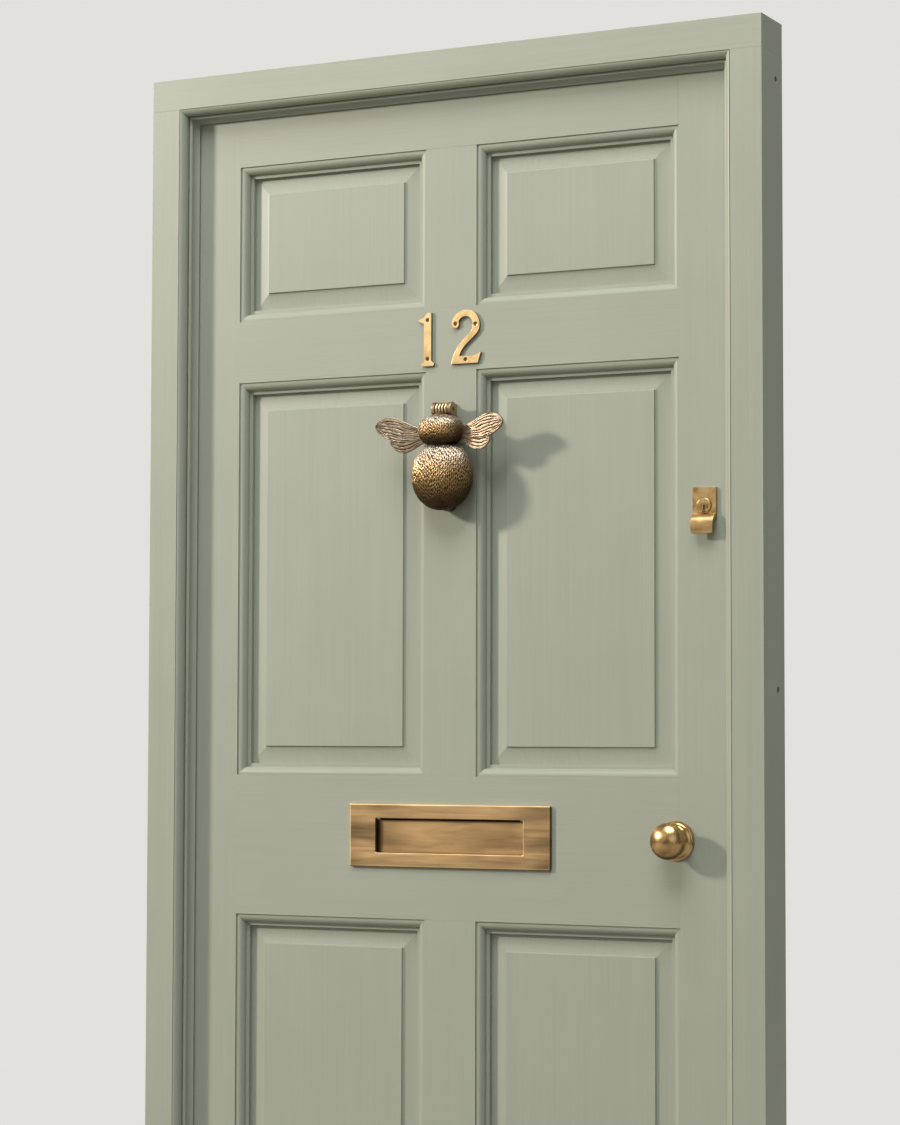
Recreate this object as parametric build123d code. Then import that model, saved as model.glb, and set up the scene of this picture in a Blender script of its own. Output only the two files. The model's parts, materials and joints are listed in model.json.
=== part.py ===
from build123d import *
import os
from math import cos, radians, sin

# Six-panel front door leaf hung in its moulded timber frame, with all its furniture.
# Millimetres, +Z up. The origin is on the underside of the sill, on the centre line of the door
# and in the plane of the leaf's outside face. Outside is towards -Y. Seen from outside the hinges
# are on the left (-X), the locks on the right (+X), and the leaf swings inwards (+Y).

# Leaf and its framing
leaf_width = 838.0
leaf_height = 1981.0
leaf_thickness = 44.0
stile_width = 82.0
muntin_width = 78.0
top_rail_height = 83.0
frieze_rail_height = 87.5
lock_rail_height = 195.0
bottom_rail_height = 230.0
top_opening_height = 221.5
middle_opening_height = 554.0

# Joints of the framing
tenon_thickness = 14.0
tenon_length = 60.0
tenon_inset = 12.0
top_haunch = 28.0
lock_tenon_height = 50.0
muntin_tenon_length = 28.0
groove_depth = 10.0

# Panels and their planted mouldings
tongue_thickness = 8.0
panel_play = 1.5
moulding_width = 16.0
moulding_setback = 0.4
quirk_width = 0.9
quirk_depth = 1.5
moulding_flat = 0.5
ovolo_width = 9.8
ovolo_drop = 11.2
ovolo_bulge = 3.0
fillet_drop = 0.8
field_margin = 24.5
margin_rise = 4.0
field_step = 2.5
step_slope = 0.8

# Frame
jamb_thickness = 44.0
head_thickness = 44.0
frame_front = 30.0
frame_back = 1.0
edge_gap = 3.0
lip_overlap = 15.5
lip_gap = 2.0
frame_tenon_thickness = 18.0
frame_tenon_length = 20.0
frame_tenon_inset = 14.0
fixing_hole_radius = 4.25
fixing_count = 3
lowest_fixing = 400.0
highest_fixing_drop = 34.0

# Frame moulding, from the flat of the frame towards the leaf
frame_quirk_width = 1.0
frame_quirk_depth = 1.5
frame_flat = 0.6
frame_ovolo_width = 6.2
frame_ovolo_drop = 15.0
frame_ovolo_bulge = 3.6
bead_width = 5.5
bead_sink = 0.9
lip_thickness = 1.6
cove_bulge = 1.6

# Sill
sill_height = 45.0
sill_gap = 5.0
sill_nose_reach = 55.0
sill_nose_height = 28.0
sill_shoulder = 3.0
drip_width = 7.0
drip_depth = 5.0
drip_setback = 12.0

# Butt hinges
hinge_height = 100.0
hinge_leaf_width = 32.0
hinge_leaf_thickness = 2.5
knuckle_radius = 5.75
knuckle_count = 5
knuckle_gap = 0.2
knuckle_clearance = 0.3
knuckle_standoff = 0.25
pin_radius = 2.5
pin_running_clearance = 0.05
pin_tip_radius = 4.5
pin_tip_height = 2.5
top_hinge_drop = 150.0
bottom_hinge_rise = 225.0

# Screws
seat_clearance = 0.05
hinge_screw_length = 18.0
hinge_screw_radius = 2.1
hinge_screw_head = 4.2
small_screw_length = 16.0
small_screw_radius = 1.6
small_screw_head = 3.1
hinge_screw_rows = (-0.36, 0.0, 0.36)

# Letter plate and flap
lock_line_rise = 16.1
plate_end_margin = 40.5
plate_side_margin = 19.5
plate_thickness = 5.0
plate_arris = 1.6
aperture_length = 224.0
aperture_height = 47.0
aperture_arris = 1.0
flap_side_gap = 4.0
flap_end_gap = 1.2
flap_side_lap = 2.5
flap_foot_lap = 1.5
flap_recess = 7.0
flap_thickness = 4.0
flap_arris = 1.6
flap_web = 2.0
flap_knuckle_radius = 4.0
flap_axis_depth = 5.0
flap_axis_rise = 5.2
rod_radius = 2.0
ear_thickness = 3.0
ear_gap = 0.5
slot_side_room = 5.0
slot_top_room = 2.5
slot_bottom_room = 2.5
stud_inset = 14.5
stud_radius = 2.5
stud_hole_radius = 3.5
stud_engagement = 3.0
letter_nut_radius = 7.0
letter_nut_height = 5.0
letter_nut_arris = 1.0

# House numerals
numeral_thickness = 4.0
numeral_foot_rise = 7.4

# Knocker
knocker_axis_drop = 55.0
knocker_axis_reach = 22.0
lug_radius = 9.5
lug_thickness = 5.2
knocker_knuckle_width = 18.6
lug_gap = 0.4
rib_count = 4
rib_depth = 1.4
neck_front = 7.0
neck_back = 5.0
lug_swing_gap = 0.8
knocker_pin_radius = 3.0
bracket_foot_drop = 24.0
bracket_thickness = 4.0
bracket_corner = 4.0
bracket_bolt_radius = 3.0
bracket_bolt_engagement = 3.0
bracket_nut_radius = 8.0
bracket_nut_height = 6.0
bracket_nut_round = 3.0
thorax_drop = 30.0
thorax_reach = 29.0
thorax_half = (31.5, 22.0, 22.0)
abdomen_drop = 91.0
abdomen_reach = 25.0
abdomen_half = (44.5, 27.0, 47.5)
bee_back = 12.0
bee_wall = 5.0
wing_sweep = 9.6
wing_root_reach = 18.9
wing_root = 22.0
forewing_reach = 98.5
hindwing_reach = 77.0
wing_rise = 20.2
wing_fall = 28.8
forewing_thickness = 3.4
hindwing_thickness = 2.4
strike_radius = 9.5
strike_drop = 129.5
strike_gap = 0.3
strike_round = 2.5
strike_screw_radius = 3.0
strike_screw_length = 22.0

# Cylinder pull and rim cylinder
rim_backset = 45.0
rim_drop = 589.7
pull_width = 33.0
pull_above = 24.0
pull_flat_below = 10.8
pull_height = 61.0
pull_thickness = 4.0
pull_reach = 15.0
pull_nose_drop = 12.5
pull_roll = 2.6
pull_inner_roll = 2.2
pull_root_drop = 4.5
pull_curl = 0.6
pull_lean = 0.9
pull_lip = 3.5
pull_taper = 6.0
pull_corner = 1.5
rim_head_radius = 10.0
rim_head_proud = 1.6
rim_head_arris = 0.8
rim_body_radius = 13.5
rim_body_length = 28.0
rim_bore_radius = 16.0
rim_hole_clearance = 0.3
plug_radius = 6.0
plug_drop = 3.0
plug_clearance = 0.05
plug_sink = 0.3
keyway_width = 1.8
keyway_height = 8.0
keyway_depth = 22.0
tail_width = 8.0
tail_thickness = 1.8
tail_inside = 12.0

# Rim night latch on the inside face
night_case_length = 79.0
night_case_height = 66.0
night_case_depth = 28.0
night_case_wall = 5.0
night_case_round = 4.0
night_case_setback = 1.0
night_hub_radius = 14.0
night_bolt_height = 24.0
night_bolt_thickness = 13.0
night_bolt_reach = 34.0
night_bolt_play = 0.3
night_knob_radius = 13.0
night_knob_height = 20.0
night_shaft_radius = 5.0
night_hub_inner_radius = 8.0
night_hub_end_gap = 0.3
night_tail_gap = 1.0
night_knob_base = 7.0
night_knob_edge = 2.0
night_thumb_length = 21.0
night_thumb_width = 6.0
night_thumb_round = 4.0
night_screw_inset = 12.5
night_screw_drop = 9.0
night_screw_grip = 14.0
night_screw_radius = 2.0
night_screw_head = 3.8
snib_travel = 8.0
snib_length = 8.0
snib_width = 5.0
snib_proud = 3.5
snib_foot = 2.0
snib_round = 0.8
snib_drop = 21.0
snib_inset = 10.0
snib_play = 0.3
snib_shoulder = 2.0
staple_gap = 5.0
staple_length = 26.0
staple_height = 36.0
staple_wall = 3.0
staple_corner = 3.0
staple_rise = 1.0
staple_flange = 18.0
night_bolt_throw = 14.0

# Mortice latch and door knobs
latch_backset = 87.4
latch_tube_radius = 11.5
latch_tube_bore = 9.0
latch_bore_clearance = 0.5
latch_end_room = 1.0
latch_box_length = 24.0
latch_box_height = 20.0
latch_box_thickness = 12.0
latch_box_wall = 1.5
forend_width = 25.0
forend_height = 57.0
forend_thickness = 3.0
forend_screw_inset = 7.0
latch_bolt_thickness = 9.5
latch_bolt_height = 14.0
latch_bolt_length = 24.0
latch_bolt_play = 0.3
latch_throw = 12.0
latch_tail_height = 6.0
latch_tail_thickness = 3.0
latch_tail_gap = 0.5
latch_bevel_share = 0.8
follower_play = 0.3
follower_radius = 7.8
spindle_size = 8.0
spindle_hole_radius = 10.0
spindle_room = 0.6
spindle_end_gap = 0.3
spindle_reach = 18.0
rose_radius = 26.0
rose_height = 9.0
rose_base = 3.0
rose_round = 1.2
rose_step = 4.0
rose_crown_width = 3.0
knob_radius = 24.0
knob_half_depth = 16.0
knob_rim_round = 12.0
knob_reach = 44.6
knob_neck_radius = 8.9
knob_neck_gap = 0.3
neck_sink = 3.0
knob_collar_radius = 12.5
knob_collar_width = 3.0
knob_collar_gap = 0.6
knob_collar_bevel = 1.5
strike_plate_height = 70.0
strike_plate_width = 30.0
strike_plate_thickness = 2.0
strike_plate_corner = 3.0
strike_screw_inset = 8.0
strike_hole_room = 1.5
strike_pocket_depth = 15.0

# Places worked out from the sizes above
half_leaf = leaf_width / 2
leaf_bottom = sill_height + sill_gap
leaf_top = leaf_bottom + leaf_height
middle_y = leaf_thickness / 2
frame_inner = half_leaf + edge_gap
frame_outer = frame_inner + jamb_thickness
head_soffit = leaf_top + edge_gap
head_top = head_soffit + head_thickness
frame_front_y = -frame_front
frame_back_y = leaf_thickness + frame_back
half_opening = half_leaf - stile_width
half_muntin = muntin_width / 2
rim_x = half_leaf - rim_backset
rim_z = leaf_top - rim_drop
plug_z = rim_z - plug_drop
knob_x = half_leaf - latch_backset
knob_ring = knob_radius - knob_rim_round
knob_round_slack = 2 * (knob_half_depth - knob_rim_round)
knob_crown_round = (knob_ring**2 + knob_half_depth**2 - knob_rim_round**2) / knob_round_slack
knob_crown_sink = knob_crown_round - knob_half_depth
hinge_x = -(half_leaf + edge_gap / 2)
hinge_y = frame_back_y + knuckle_radius + knuckle_standoff
tongue_front = (leaf_thickness - tongue_thickness) / 2
flap_front_y = flap_recess - plate_thickness
half_flap = aperture_length / 2 - flap_side_gap

# Rails as (bottom, top), worked out downwards from the top of the leaf
top_rail_span = (leaf_top - top_rail_height, leaf_top)
frieze_top = top_rail_span[0] - top_opening_height
frieze_rail_span = (frieze_top - frieze_rail_height, frieze_top)
lock_top = frieze_rail_span[0] - middle_opening_height
lock_rail_span = (lock_top - lock_rail_height, lock_top)
bottom_rail_span = (leaf_bottom, leaf_bottom + bottom_rail_height)

# Heights of the furniture, from the rails that carry it or that it hangs below
lock_line = (lock_rail_span[0] + lock_rail_span[1]) / 2 + lock_line_rise
knocker_z = frieze_rail_span[0] - knocker_axis_drop
numeral_foot = frieze_rail_span[0] + numeral_foot_rise
plate_length = aperture_length + 2 * plate_end_margin
plate_height = aperture_height + 2 * plate_side_margin
aperture_top = lock_line + aperture_height / 2
aperture_bottom = lock_line - aperture_height / 2
flap_axis_z = aperture_top + flap_axis_rise

# Rows of panels as (bottom, top) and columns as (left, right)
panel_rows = {
    "top": (frieze_rail_span[1], top_rail_span[0]),
    "middle": (lock_rail_span[1], frieze_rail_span[0]),
    "bottom": (bottom_rail_span[1], lock_rail_span[0]),
}
panel_columns = {
    "left": (-half_opening, -half_muntin),
    "right": (half_muntin, half_opening),
}

# Heights of the hinges' centres
top_hinge_z = leaf_top - top_hinge_drop - hinge_height / 2
bottom_hinge_z = leaf_bottom + bottom_hinge_rise + hinge_height / 2
hinge_centres = (bottom_hinge_z, (top_hinge_z + bottom_hinge_z) / 2, top_hinge_z)


def block(x0, x1, y0, y1, z0, z1):
    """A box between two opposite corners."""
    centre = Pos((x0 + x1) / 2, (y0 + y1) / 2, (z0 + z1) / 2)
    return centre * Box(x1 - x0, y1 - y0, z1 - z0)


def bar(start, direction, radius, length):
    """A round bar from a point, along a direction."""
    return extrude(Plane(origin=start, z_dir=direction) * Circle(radius), length)


def bar_along_x(x0, x1, y, z, radius):
    return bar((x0, y, z), (1, 0, 0), radius, x1 - x0)


def bar_along_y(y0, y1, x, z, radius):
    return bar((x, y0, z), (0, 1, 0), radius, y1 - y0)


def countersunk(start, direction, length, radius, head, extra=0.0):
    """A countersunk screw with its head flush at start, or its hole when extra is given."""
    cone_height = head - radius
    cone = Cone(head + extra, radius + extra, cone_height)
    shank = Cylinder(radius + extra, length - cone_height + extra)
    cone = Pos(0, 0, cone_height / 2) * cone
    shank = Pos(0, 0, cone_height + (length - cone_height + extra) / 2) * shank
    return Plane(origin=start, z_dir=direction) * (cone + shank)


def hinge_screw(start, direction, extra=0.0):
    return countersunk(start, direction, hinge_screw_length, hinge_screw_radius, hinge_screw_head, extra)


def small_screw(start, direction, extra=0.0):
    return countersunk(start, direction, small_screw_length, small_screw_radius, small_screw_head, extra)


def inside_copy(shape):
    """The same shape on the leaf's inside face."""
    return mirror(shape, about=Plane(origin=(0, middle_y, 0), z_dir=(0, 1, 0)))


def left_copy(shape):
    return mirror(shape, about=Plane.YZ)


def cut(shape, tools):
    for tool in tools:
        shape = shape - tool
    return shape


# Frame

def sill():
    nose_y = frame_front_y - sill_nose_reach
    profile = Polyline(
        (frame_back_y, 0),
        (frame_back_y, sill_height),
        (frame_front_y - sill_shoulder, sill_height),
        (nose_y, sill_nose_height),
        (nose_y, 0),
        close=True,
    )
    plane = Plane(origin=(-frame_outer, 0, 0), x_dir=(0, 1, 0), z_dir=(1, 0, 0))
    body = extrude(plane * make_face(profile), 2 * frame_outer)
    drip_y = nose_y + drip_setback
    drip = block(-frame_outer, frame_outer, drip_y, drip_y + drip_width, 0, drip_depth)
    return cut(body, [drip] + [jamb_foot(side) for side in (-1, 1)])


def jamb_tenon_y():
    centre = (frame_front_y + frame_back_y) / 2
    return centre - frame_tenon_thickness / 2, centre + frame_tenon_thickness / 2


def jamb_tenon(side, z0, z1):
    """A stub tenon on the end of a jamb."""
    inner = frame_inner + frame_tenon_inset / 2
    outer = frame_outer - frame_tenon_inset
    x0, x1 = sorted((side * inner, side * outer))
    return block(x0, x1, *jamb_tenon_y(), z0, z1)


def jamb_foot(side):
    return jamb_tenon(side, sill_height - frame_tenon_length, sill_height)


def jamb_horn(side):
    return jamb_tenon(side, head_soffit, head_soffit + frame_tenon_length)


def fixing_heights():
    pitch = (head_soffit - highest_fixing_drop - lowest_fixing) / (fixing_count - 1)
    return [lowest_fixing + index * pitch for index in range(fixing_count)]


def jamb(side):
    x0, x1 = sorted((side * frame_inner, side * frame_outer))
    body = block(x0, x1, frame_front_y, frame_back_y, sill_height, head_soffit)
    body = body + jamb_foot(side) + jamb_horn(side)
    holes = [bar_along_x(x0, x1, middle_y, z, fixing_hole_radius) for z in fixing_heights()]
    return cut(body, holes)


def head():
    body = block(-frame_outer, frame_outer, frame_front_y, frame_back_y, head_soffit, head_top)
    return cut(body, [jamb_horn(side) for side in (-1, 1)])


def frame_moulding_section():
    """The planted moulding: across towards the leaf, then out towards the weather."""
    width = lip_overlap + edge_gap
    front = frame_front
    ovolo_start = frame_quirk_width + frame_flat
    ovolo_end = ovolo_start + frame_ovolo_width
    ovolo_foot = front - frame_ovolo_drop
    bead_end = ovolo_end + bead_width
    bead_base = ovolo_foot - bead_sink
    bead_crown = bead_base + bead_width / 2
    lip_front = lip_gap + lip_thickness
    edges = [
        Line((0, lip_gap), (0, front - frame_quirk_depth)),
        Line((0, front - frame_quirk_depth), (frame_quirk_width, front - frame_quirk_depth)),
        Line((frame_quirk_width, front - frame_quirk_depth), (frame_quirk_width, front)),
        Line((frame_quirk_width, front), (ovolo_start, front)),
        SagittaArc((ovolo_start, front), (ovolo_end, ovolo_foot), frame_ovolo_bulge),
        Line((ovolo_end, ovolo_foot), (ovolo_end, bead_base)),
        ThreePointArc((ovolo_end, bead_base), (ovolo_end + bead_width / 2, bead_crown), (bead_end, bead_base)),
        SagittaArc((bead_end, bead_base), (width, lip_front), -cove_bulge),
        Line((width, lip_front), (width, lip_gap)),
        Line((width, lip_gap), (0, lip_gap)),
    ]
    return make_face(edges)


def mitred(section, length, width, height, mitre_start=True, mitre_end=True):
    """A length of moulding along X, its section across Y and Z, cut to 45 degrees at its ends."""
    plane = Plane(origin=(0, 0, 0), x_dir=(0, 1, 0), z_dir=(1, 0, 0))
    stick = extrude(plane * section, length)
    reach = 1.5 * width
    start = reach if mitre_start else 0
    end = reach if mitre_end else 0
    outline = Polyline((0, 0), (length, 0), (length - end, reach), (start, reach), close=True)
    return stick & extrude(make_face(outline), height)


def outward_place(x, y, z, run):
    """Where a length of moulding starts on an outside face, and the way it runs."""
    return Plane(origin=(x, y, z), x_dir=run, z_dir=(0, -1, 0))


def frame_mouldings():
    width = lip_overlap + edge_gap
    section = frame_moulding_section()
    height = frame_front + 1
    upright = head_soffit - sill_height
    across = 2 * frame_inner
    right = mitred(section, upright, width, height, False, True)
    top = mitred(section, across, width, height)
    left = mitred(section, upright, width, height, True, False)
    return [
        outward_place(frame_inner, 0, sill_height, (0, 0, 1)) * right,
        outward_place(frame_inner, 0, head_soffit, (-1, 0, 0)) * top,
        outward_place(-frame_inner, 0, head_soffit, (0, 0, -1)) * left,
    ]


# Leaf framing

def tenon_spans(rail):
    """Heights of the tenons at the ends of a rail."""
    low, high = rail
    if rail == lock_rail_span:
        return [
            (low + tenon_inset, low + tenon_inset + lock_tenon_height),
            (high - tenon_inset - lock_tenon_height, high - tenon_inset),
        ]
    if rail == top_rail_span:
        return [(low + tenon_inset, high - top_haunch)]
    if rail == bottom_rail_span:
        return [(low + top_haunch, high - tenon_inset)]
    return [(low + tenon_inset, high - tenon_inset)]


def rail_tenons(rail):
    y0 = middle_y - tenon_thickness / 2
    y1 = middle_y + tenon_thickness / 2
    outer = half_opening + tenon_length
    tenons = []
    for low, high in tenon_spans(rail):
        tenons.append(block(-outer, -half_opening, y0, y1, low, high))
        tenons.append(block(half_opening, outer, y0, y1, low, high))
    return tenons


def muntin_tenons(row):
    low, high = panel_rows[row]
    x = half_muntin - tenon_inset
    y0 = middle_y - tenon_thickness / 2
    y1 = middle_y + tenon_thickness / 2
    return [
        block(-x, x, y0, y1, low - muntin_tenon_length, low),
        block(-x, x, y0, y1, high, high + muntin_tenon_length),
    ]


def panel_grooves(rows, columns=("left", "right")):
    """The grooves ploughed round the openings for the tongues of the panels."""
    grooves = []
    for row in rows:
        z0, z1 = panel_rows[row]
        for column in columns:
            x0, x1 = panel_columns[column]
            grooves.append(
                block(
                    x0 - groove_depth,
                    x1 + groove_depth,
                    tongue_front,
                    leaf_thickness - tongue_front,
                    z0 - groove_depth,
                    z1 + groove_depth,
                )
            )
    return grooves


def stile(side):
    x0, x1 = sorted((side * half_opening, side * half_leaf))
    body = block(x0, x1, 0, leaf_thickness, leaf_bottom, leaf_top)
    cuts = panel_grooves(panel_rows, ("left",) if side < 0 else ("right",))
    for rail in (top_rail_span, frieze_rail_span, lock_rail_span, bottom_rail_span):
        cuts = cuts + rail_tenons(rail)
    return cut(body, cuts)


def rail(span, rows):
    """A rail with its tenons, grooved and morticed for the rows of panels that it borders."""
    body = block(-half_opening, half_opening, 0, leaf_thickness, *span)
    for tenon in rail_tenons(span):
        body = body + tenon
    cuts = panel_grooves(rows)
    for row in rows:
        cuts = cuts + muntin_tenons(row)
    return cut(body, cuts)


def muntin(row):
    body = block(-half_muntin, half_muntin, 0, leaf_thickness, *panel_rows[row])
    body = cut(body, panel_grooves([row]))
    for tenon in muntin_tenons(row):
        body = body + tenon
    return body


# Panels and their mouldings

def upright_face(x0, x1, z0, z1, y, inset):
    """A rectangle in a plane of the leaf, set in from an opening."""
    width = x1 - x0 - 2 * inset
    height = z1 - z0 - 2 * inset
    plane = Plane(origin=((x0 + x1) / 2, y, (z0 + z1) / 2), x_dir=(1, 0, 0), z_dir=(0, -1, 0))
    return plane * Rectangle(width, height)


def panel(x0, x1, z0, z1):
    """A raised and fielded panel: tongue, sloping margin, small step, flat field, on both faces."""
    reach = groove_depth - panel_play
    tongue = block(
        x0 - reach, x1 + reach, tongue_front, leaf_thickness - tongue_front, z0 - reach, z1 + reach
    )
    field_inset = moulding_width + field_margin
    margin_y = tongue_front - margin_rise
    field_y = margin_y - field_step
    margin_edge = field_inset - step_slope
    margin = loft(
        [
            upright_face(x0, x1, z0, z1, tongue_front, moulding_width),
            upright_face(x0, x1, z0, z1, margin_y, margin_edge),
        ],
        ruled=True,
    )
    field = loft(
        [
            upright_face(x0, x1, z0, z1, margin_y, margin_edge),
            upright_face(x0, x1, z0, z1, field_y, field_inset),
        ],
        ruled=True,
    )
    raised = margin + field
    return tongue + raised + inside_copy(raised)


def panel_moulding_section():
    """Quirk, ovolo and fillet: across towards the panel, then out towards the leaf's face."""
    depth = tongue_front
    front = depth - moulding_setback
    ovolo_start = quirk_width + moulding_flat
    ovolo_end = ovolo_start + ovolo_width
    ovolo_foot = front - ovolo_drop
    fillet = ovolo_foot - fillet_drop
    edges = [
        Line((0, 0), (0, front - quirk_depth)),
        Line((0, front - quirk_depth), (quirk_width, front - quirk_depth)),
        Line((quirk_width, front - quirk_depth), (quirk_width, front)),
        Line((quirk_width, front), (ovolo_start, front)),
        SagittaArc((ovolo_start, front), (ovolo_end, ovolo_foot), ovolo_bulge),
        Line((ovolo_end, ovolo_foot), (ovolo_end, fillet)),
        Line((ovolo_end, fillet), (moulding_width, fillet)),
        Line((moulding_width, fillet), (moulding_width, 0)),
        Line((moulding_width, 0), (0, 0)),
    ]
    return make_face(edges)


def panel_mouldings(x0, x1, z0, z1):
    """Four mitred lengths round an opening on the outside, and four on the inside."""
    section = panel_moulding_section()
    level = mitred(section, x1 - x0, moulding_width, tongue_front)
    upright = mitred(section, z1 - z0, moulding_width, tongue_front)
    outside = [
        outward_place(x0, tongue_front, z0, (1, 0, 0)) * level,
        outward_place(x1, tongue_front, z0, (0, 0, 1)) * upright,
        outward_place(x1, tongue_front, z1, (-1, 0, 0)) * level,
        outward_place(x0, tongue_front, z1, (0, 0, -1)) * upright,
    ]
    return outside + [inside_copy(length) for length in outside]


# Butt hinges

def knuckle_span(centre, index, gap):
    step = hinge_height / knuckle_count
    low = centre - hinge_height / 2 + index * step
    return low + gap / 2, low + step - gap / 2


def hinge_leaf(centre, side, own, other):
    """One leaf of a butt hinge, from its plate let into the timber to its knuckles."""
    thickness = hinge_leaf_thickness
    near = edge_gap / 2
    x0, x1 = sorted((hinge_x + side * near, hinge_x + side * (near + thickness)))
    low = centre - hinge_height / 2
    high = centre + hinge_height / 2
    plate = block(x0, x1, leaf_thickness - hinge_leaf_width, hinge_y, low, high)
    for index in other:
        z0, z1 = knuckle_span(centre, index, -knuckle_gap)
        clearance = bar((hinge_x, hinge_y, z0), (0, 0, 1), knuckle_radius + knuckle_clearance, z1 - z0)
        plate = plate - clearance
    for index in own:
        z0, z1 = knuckle_span(centre, index, knuckle_gap)
        plate = plate + bar((hinge_x, hinge_y, z0), (0, 0, 1), knuckle_radius, z1 - z0)
    bore = pin_radius + pin_running_clearance
    plate = plate - bar((hinge_x, hinge_y, low), (0, 0, 1), bore, hinge_height)
    return cut(plate, hinge_screws(centre, side, seat_clearance))


def hinge_screws(centre, side, extra=0.0):
    x = hinge_x + side * edge_gap / 2
    y = leaf_thickness - hinge_leaf_width / 2
    screws = []
    for row in hinge_screw_rows:
        offset = hinge_leaf_width / 5 if row == 0 else -hinge_leaf_width / 5
        z = centre + row * hinge_height
        screws.append(hinge_screw((x, y + offset, z), (side, 0, 0), extra))
    return screws


def hinge_recess(centre, side):
    near = edge_gap / 2
    x0, x1 = sorted((hinge_x + side * near, hinge_x + side * (near + hinge_leaf_thickness)))
    low = centre - hinge_height / 2
    return block(x0, x1, leaf_thickness - hinge_leaf_width, frame_back_y, low, low + hinge_height)


def hinge_pin(centre):
    low = centre - hinge_height / 2
    pin = bar((hinge_x, hinge_y, low), (0, 0, 1), pin_radius, hinge_height)
    top = bar((hinge_x, hinge_y, low + hinge_height), (0, 0, 1), pin_tip_radius, pin_tip_height)
    base = bar((hinge_x, hinge_y, low - pin_tip_height), (0, 0, 1), pin_tip_radius, pin_tip_height)
    return pin + top + base


frame_knuckles = range(0, knuckle_count, 2)
leaf_knuckles = range(1, knuckle_count, 2)


# Letter plate

def letter_plate():
    half_length = plate_length / 2
    half_height = plate_height / 2
    plate = block(
        -half_length, half_length, -plate_thickness, 0, lock_line - half_height, lock_line + half_height
    )
    plate = chamfer(plate.faces().sort_by(Axis.Y)[0].edges(), plate_arris)
    aperture = block(
        -aperture_length / 2, aperture_length / 2, -plate_thickness, 0, aperture_bottom, aperture_top
    )
    plate = plate - aperture
    rim = plate.faces().sort_by(Axis.Y)[0].inner_wires()[0].edges()
    plate = chamfer(rim, aperture_arris)
    for side in (-1, 1):
        plate = plate + letter_ear(side)
    return cut(plate, [letter_stud(side, seat_clearance) for side in (-1, 1)])


def letter_ear(side):
    """A lug behind the plate that carries one end of the flap's rod."""
    x = half_flap + ear_gap
    x0, x1 = sorted((side * x, side * (x + ear_thickness)))
    size = flap_knuckle_radius
    base = block(x0, x1, 0, flap_axis_depth, flap_axis_z - size, flap_axis_z + size)
    base = base + bar_along_x(x0, x1, flap_axis_depth, flap_axis_z, size)
    return base - bar_along_x(x0, x1, flap_axis_depth, flap_axis_z, rod_radius + seat_clearance)


def letter_flap():
    """The flap with its tubular knuckle; it laps the aperture at the sides and the foot."""
    half_plate = aperture_length / 2 + flap_side_lap
    low = aperture_bottom - flap_foot_lap
    high = aperture_top - flap_end_gap
    back = flap_front_y + flap_thickness
    plate = block(-half_plate, half_plate, flap_front_y, back, low, high)
    plate = chamfer(plate.faces().sort_by(Axis.Y)[0].edges(), flap_arris)
    web = block(-half_flap, half_flap, back - flap_web, back, high - flap_arris, flap_axis_z)
    knuckle = bar_along_x(-half_flap, half_flap, flap_axis_depth, flap_axis_z, flap_knuckle_radius)
    bore = rod_radius + pin_running_clearance
    return plate + web + knuckle - bar_along_x(-half_flap, half_flap, flap_axis_depth, flap_axis_z, bore)


def flap_rod():
    reach = half_flap + ear_gap + ear_thickness
    return bar_along_x(-reach, reach, flap_axis_depth, flap_axis_z, rod_radius)


def letter_slot():
    half = aperture_length / 2 + slot_side_room
    top = flap_axis_z + flap_knuckle_radius + slot_top_room
    return block(-half, half, 0, leaf_thickness, aperture_bottom - slot_bottom_room, top)


def letter_stud_x(side):
    return side * (plate_length / 2 - stud_inset)


def letter_stud(side, extra=0.0):
    start = -stud_engagement - extra
    end = leaf_thickness + letter_nut_height
    return bar_along_y(start, end, letter_stud_x(side), lock_line, stud_radius + extra)


def letter_nut(side):
    start = leaf_thickness
    end = start + letter_nut_height
    nut = bar_along_y(start, end, letter_stud_x(side), lock_line, letter_nut_radius)
    nut = chamfer(nut.faces().sort_by(Axis.Y)[-1].edges(), letter_nut_arris)
    return nut - letter_stud(side, seat_clearance)


def letter_stud_holes():
    return [
        bar_along_y(0, leaf_thickness, letter_stud_x(side), lock_line, stud_hole_radius) for side in (-1, 1)
    ]


# House numerals, drawn from the left and the foot of the pair

def numeral_plane(y):
    return Plane(origin=(0, y, numeral_foot), x_dir=(1, 0, 0), z_dir=(0, -1, 0))


def numeral_solid(face):
    return extrude(numeral_plane(0) * face, numeral_thickness, dir=(0, -1, 0))


numeral_screw_places = {
    "one": ((-34.2, 63.9), (-34.2, 10.5)),
    "two": ((8.6, 56.3), (38.9, 54.4), (24.1, 6.4)),
}


def numeral_screw_list(name, extra=0.0):
    screws = []
    for x, z in numeral_screw_places[name]:
        start = (x, -numeral_thickness, numeral_foot + z)
        screws.append(small_screw(start, (0, 1, 0), extra))
    return screws


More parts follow.
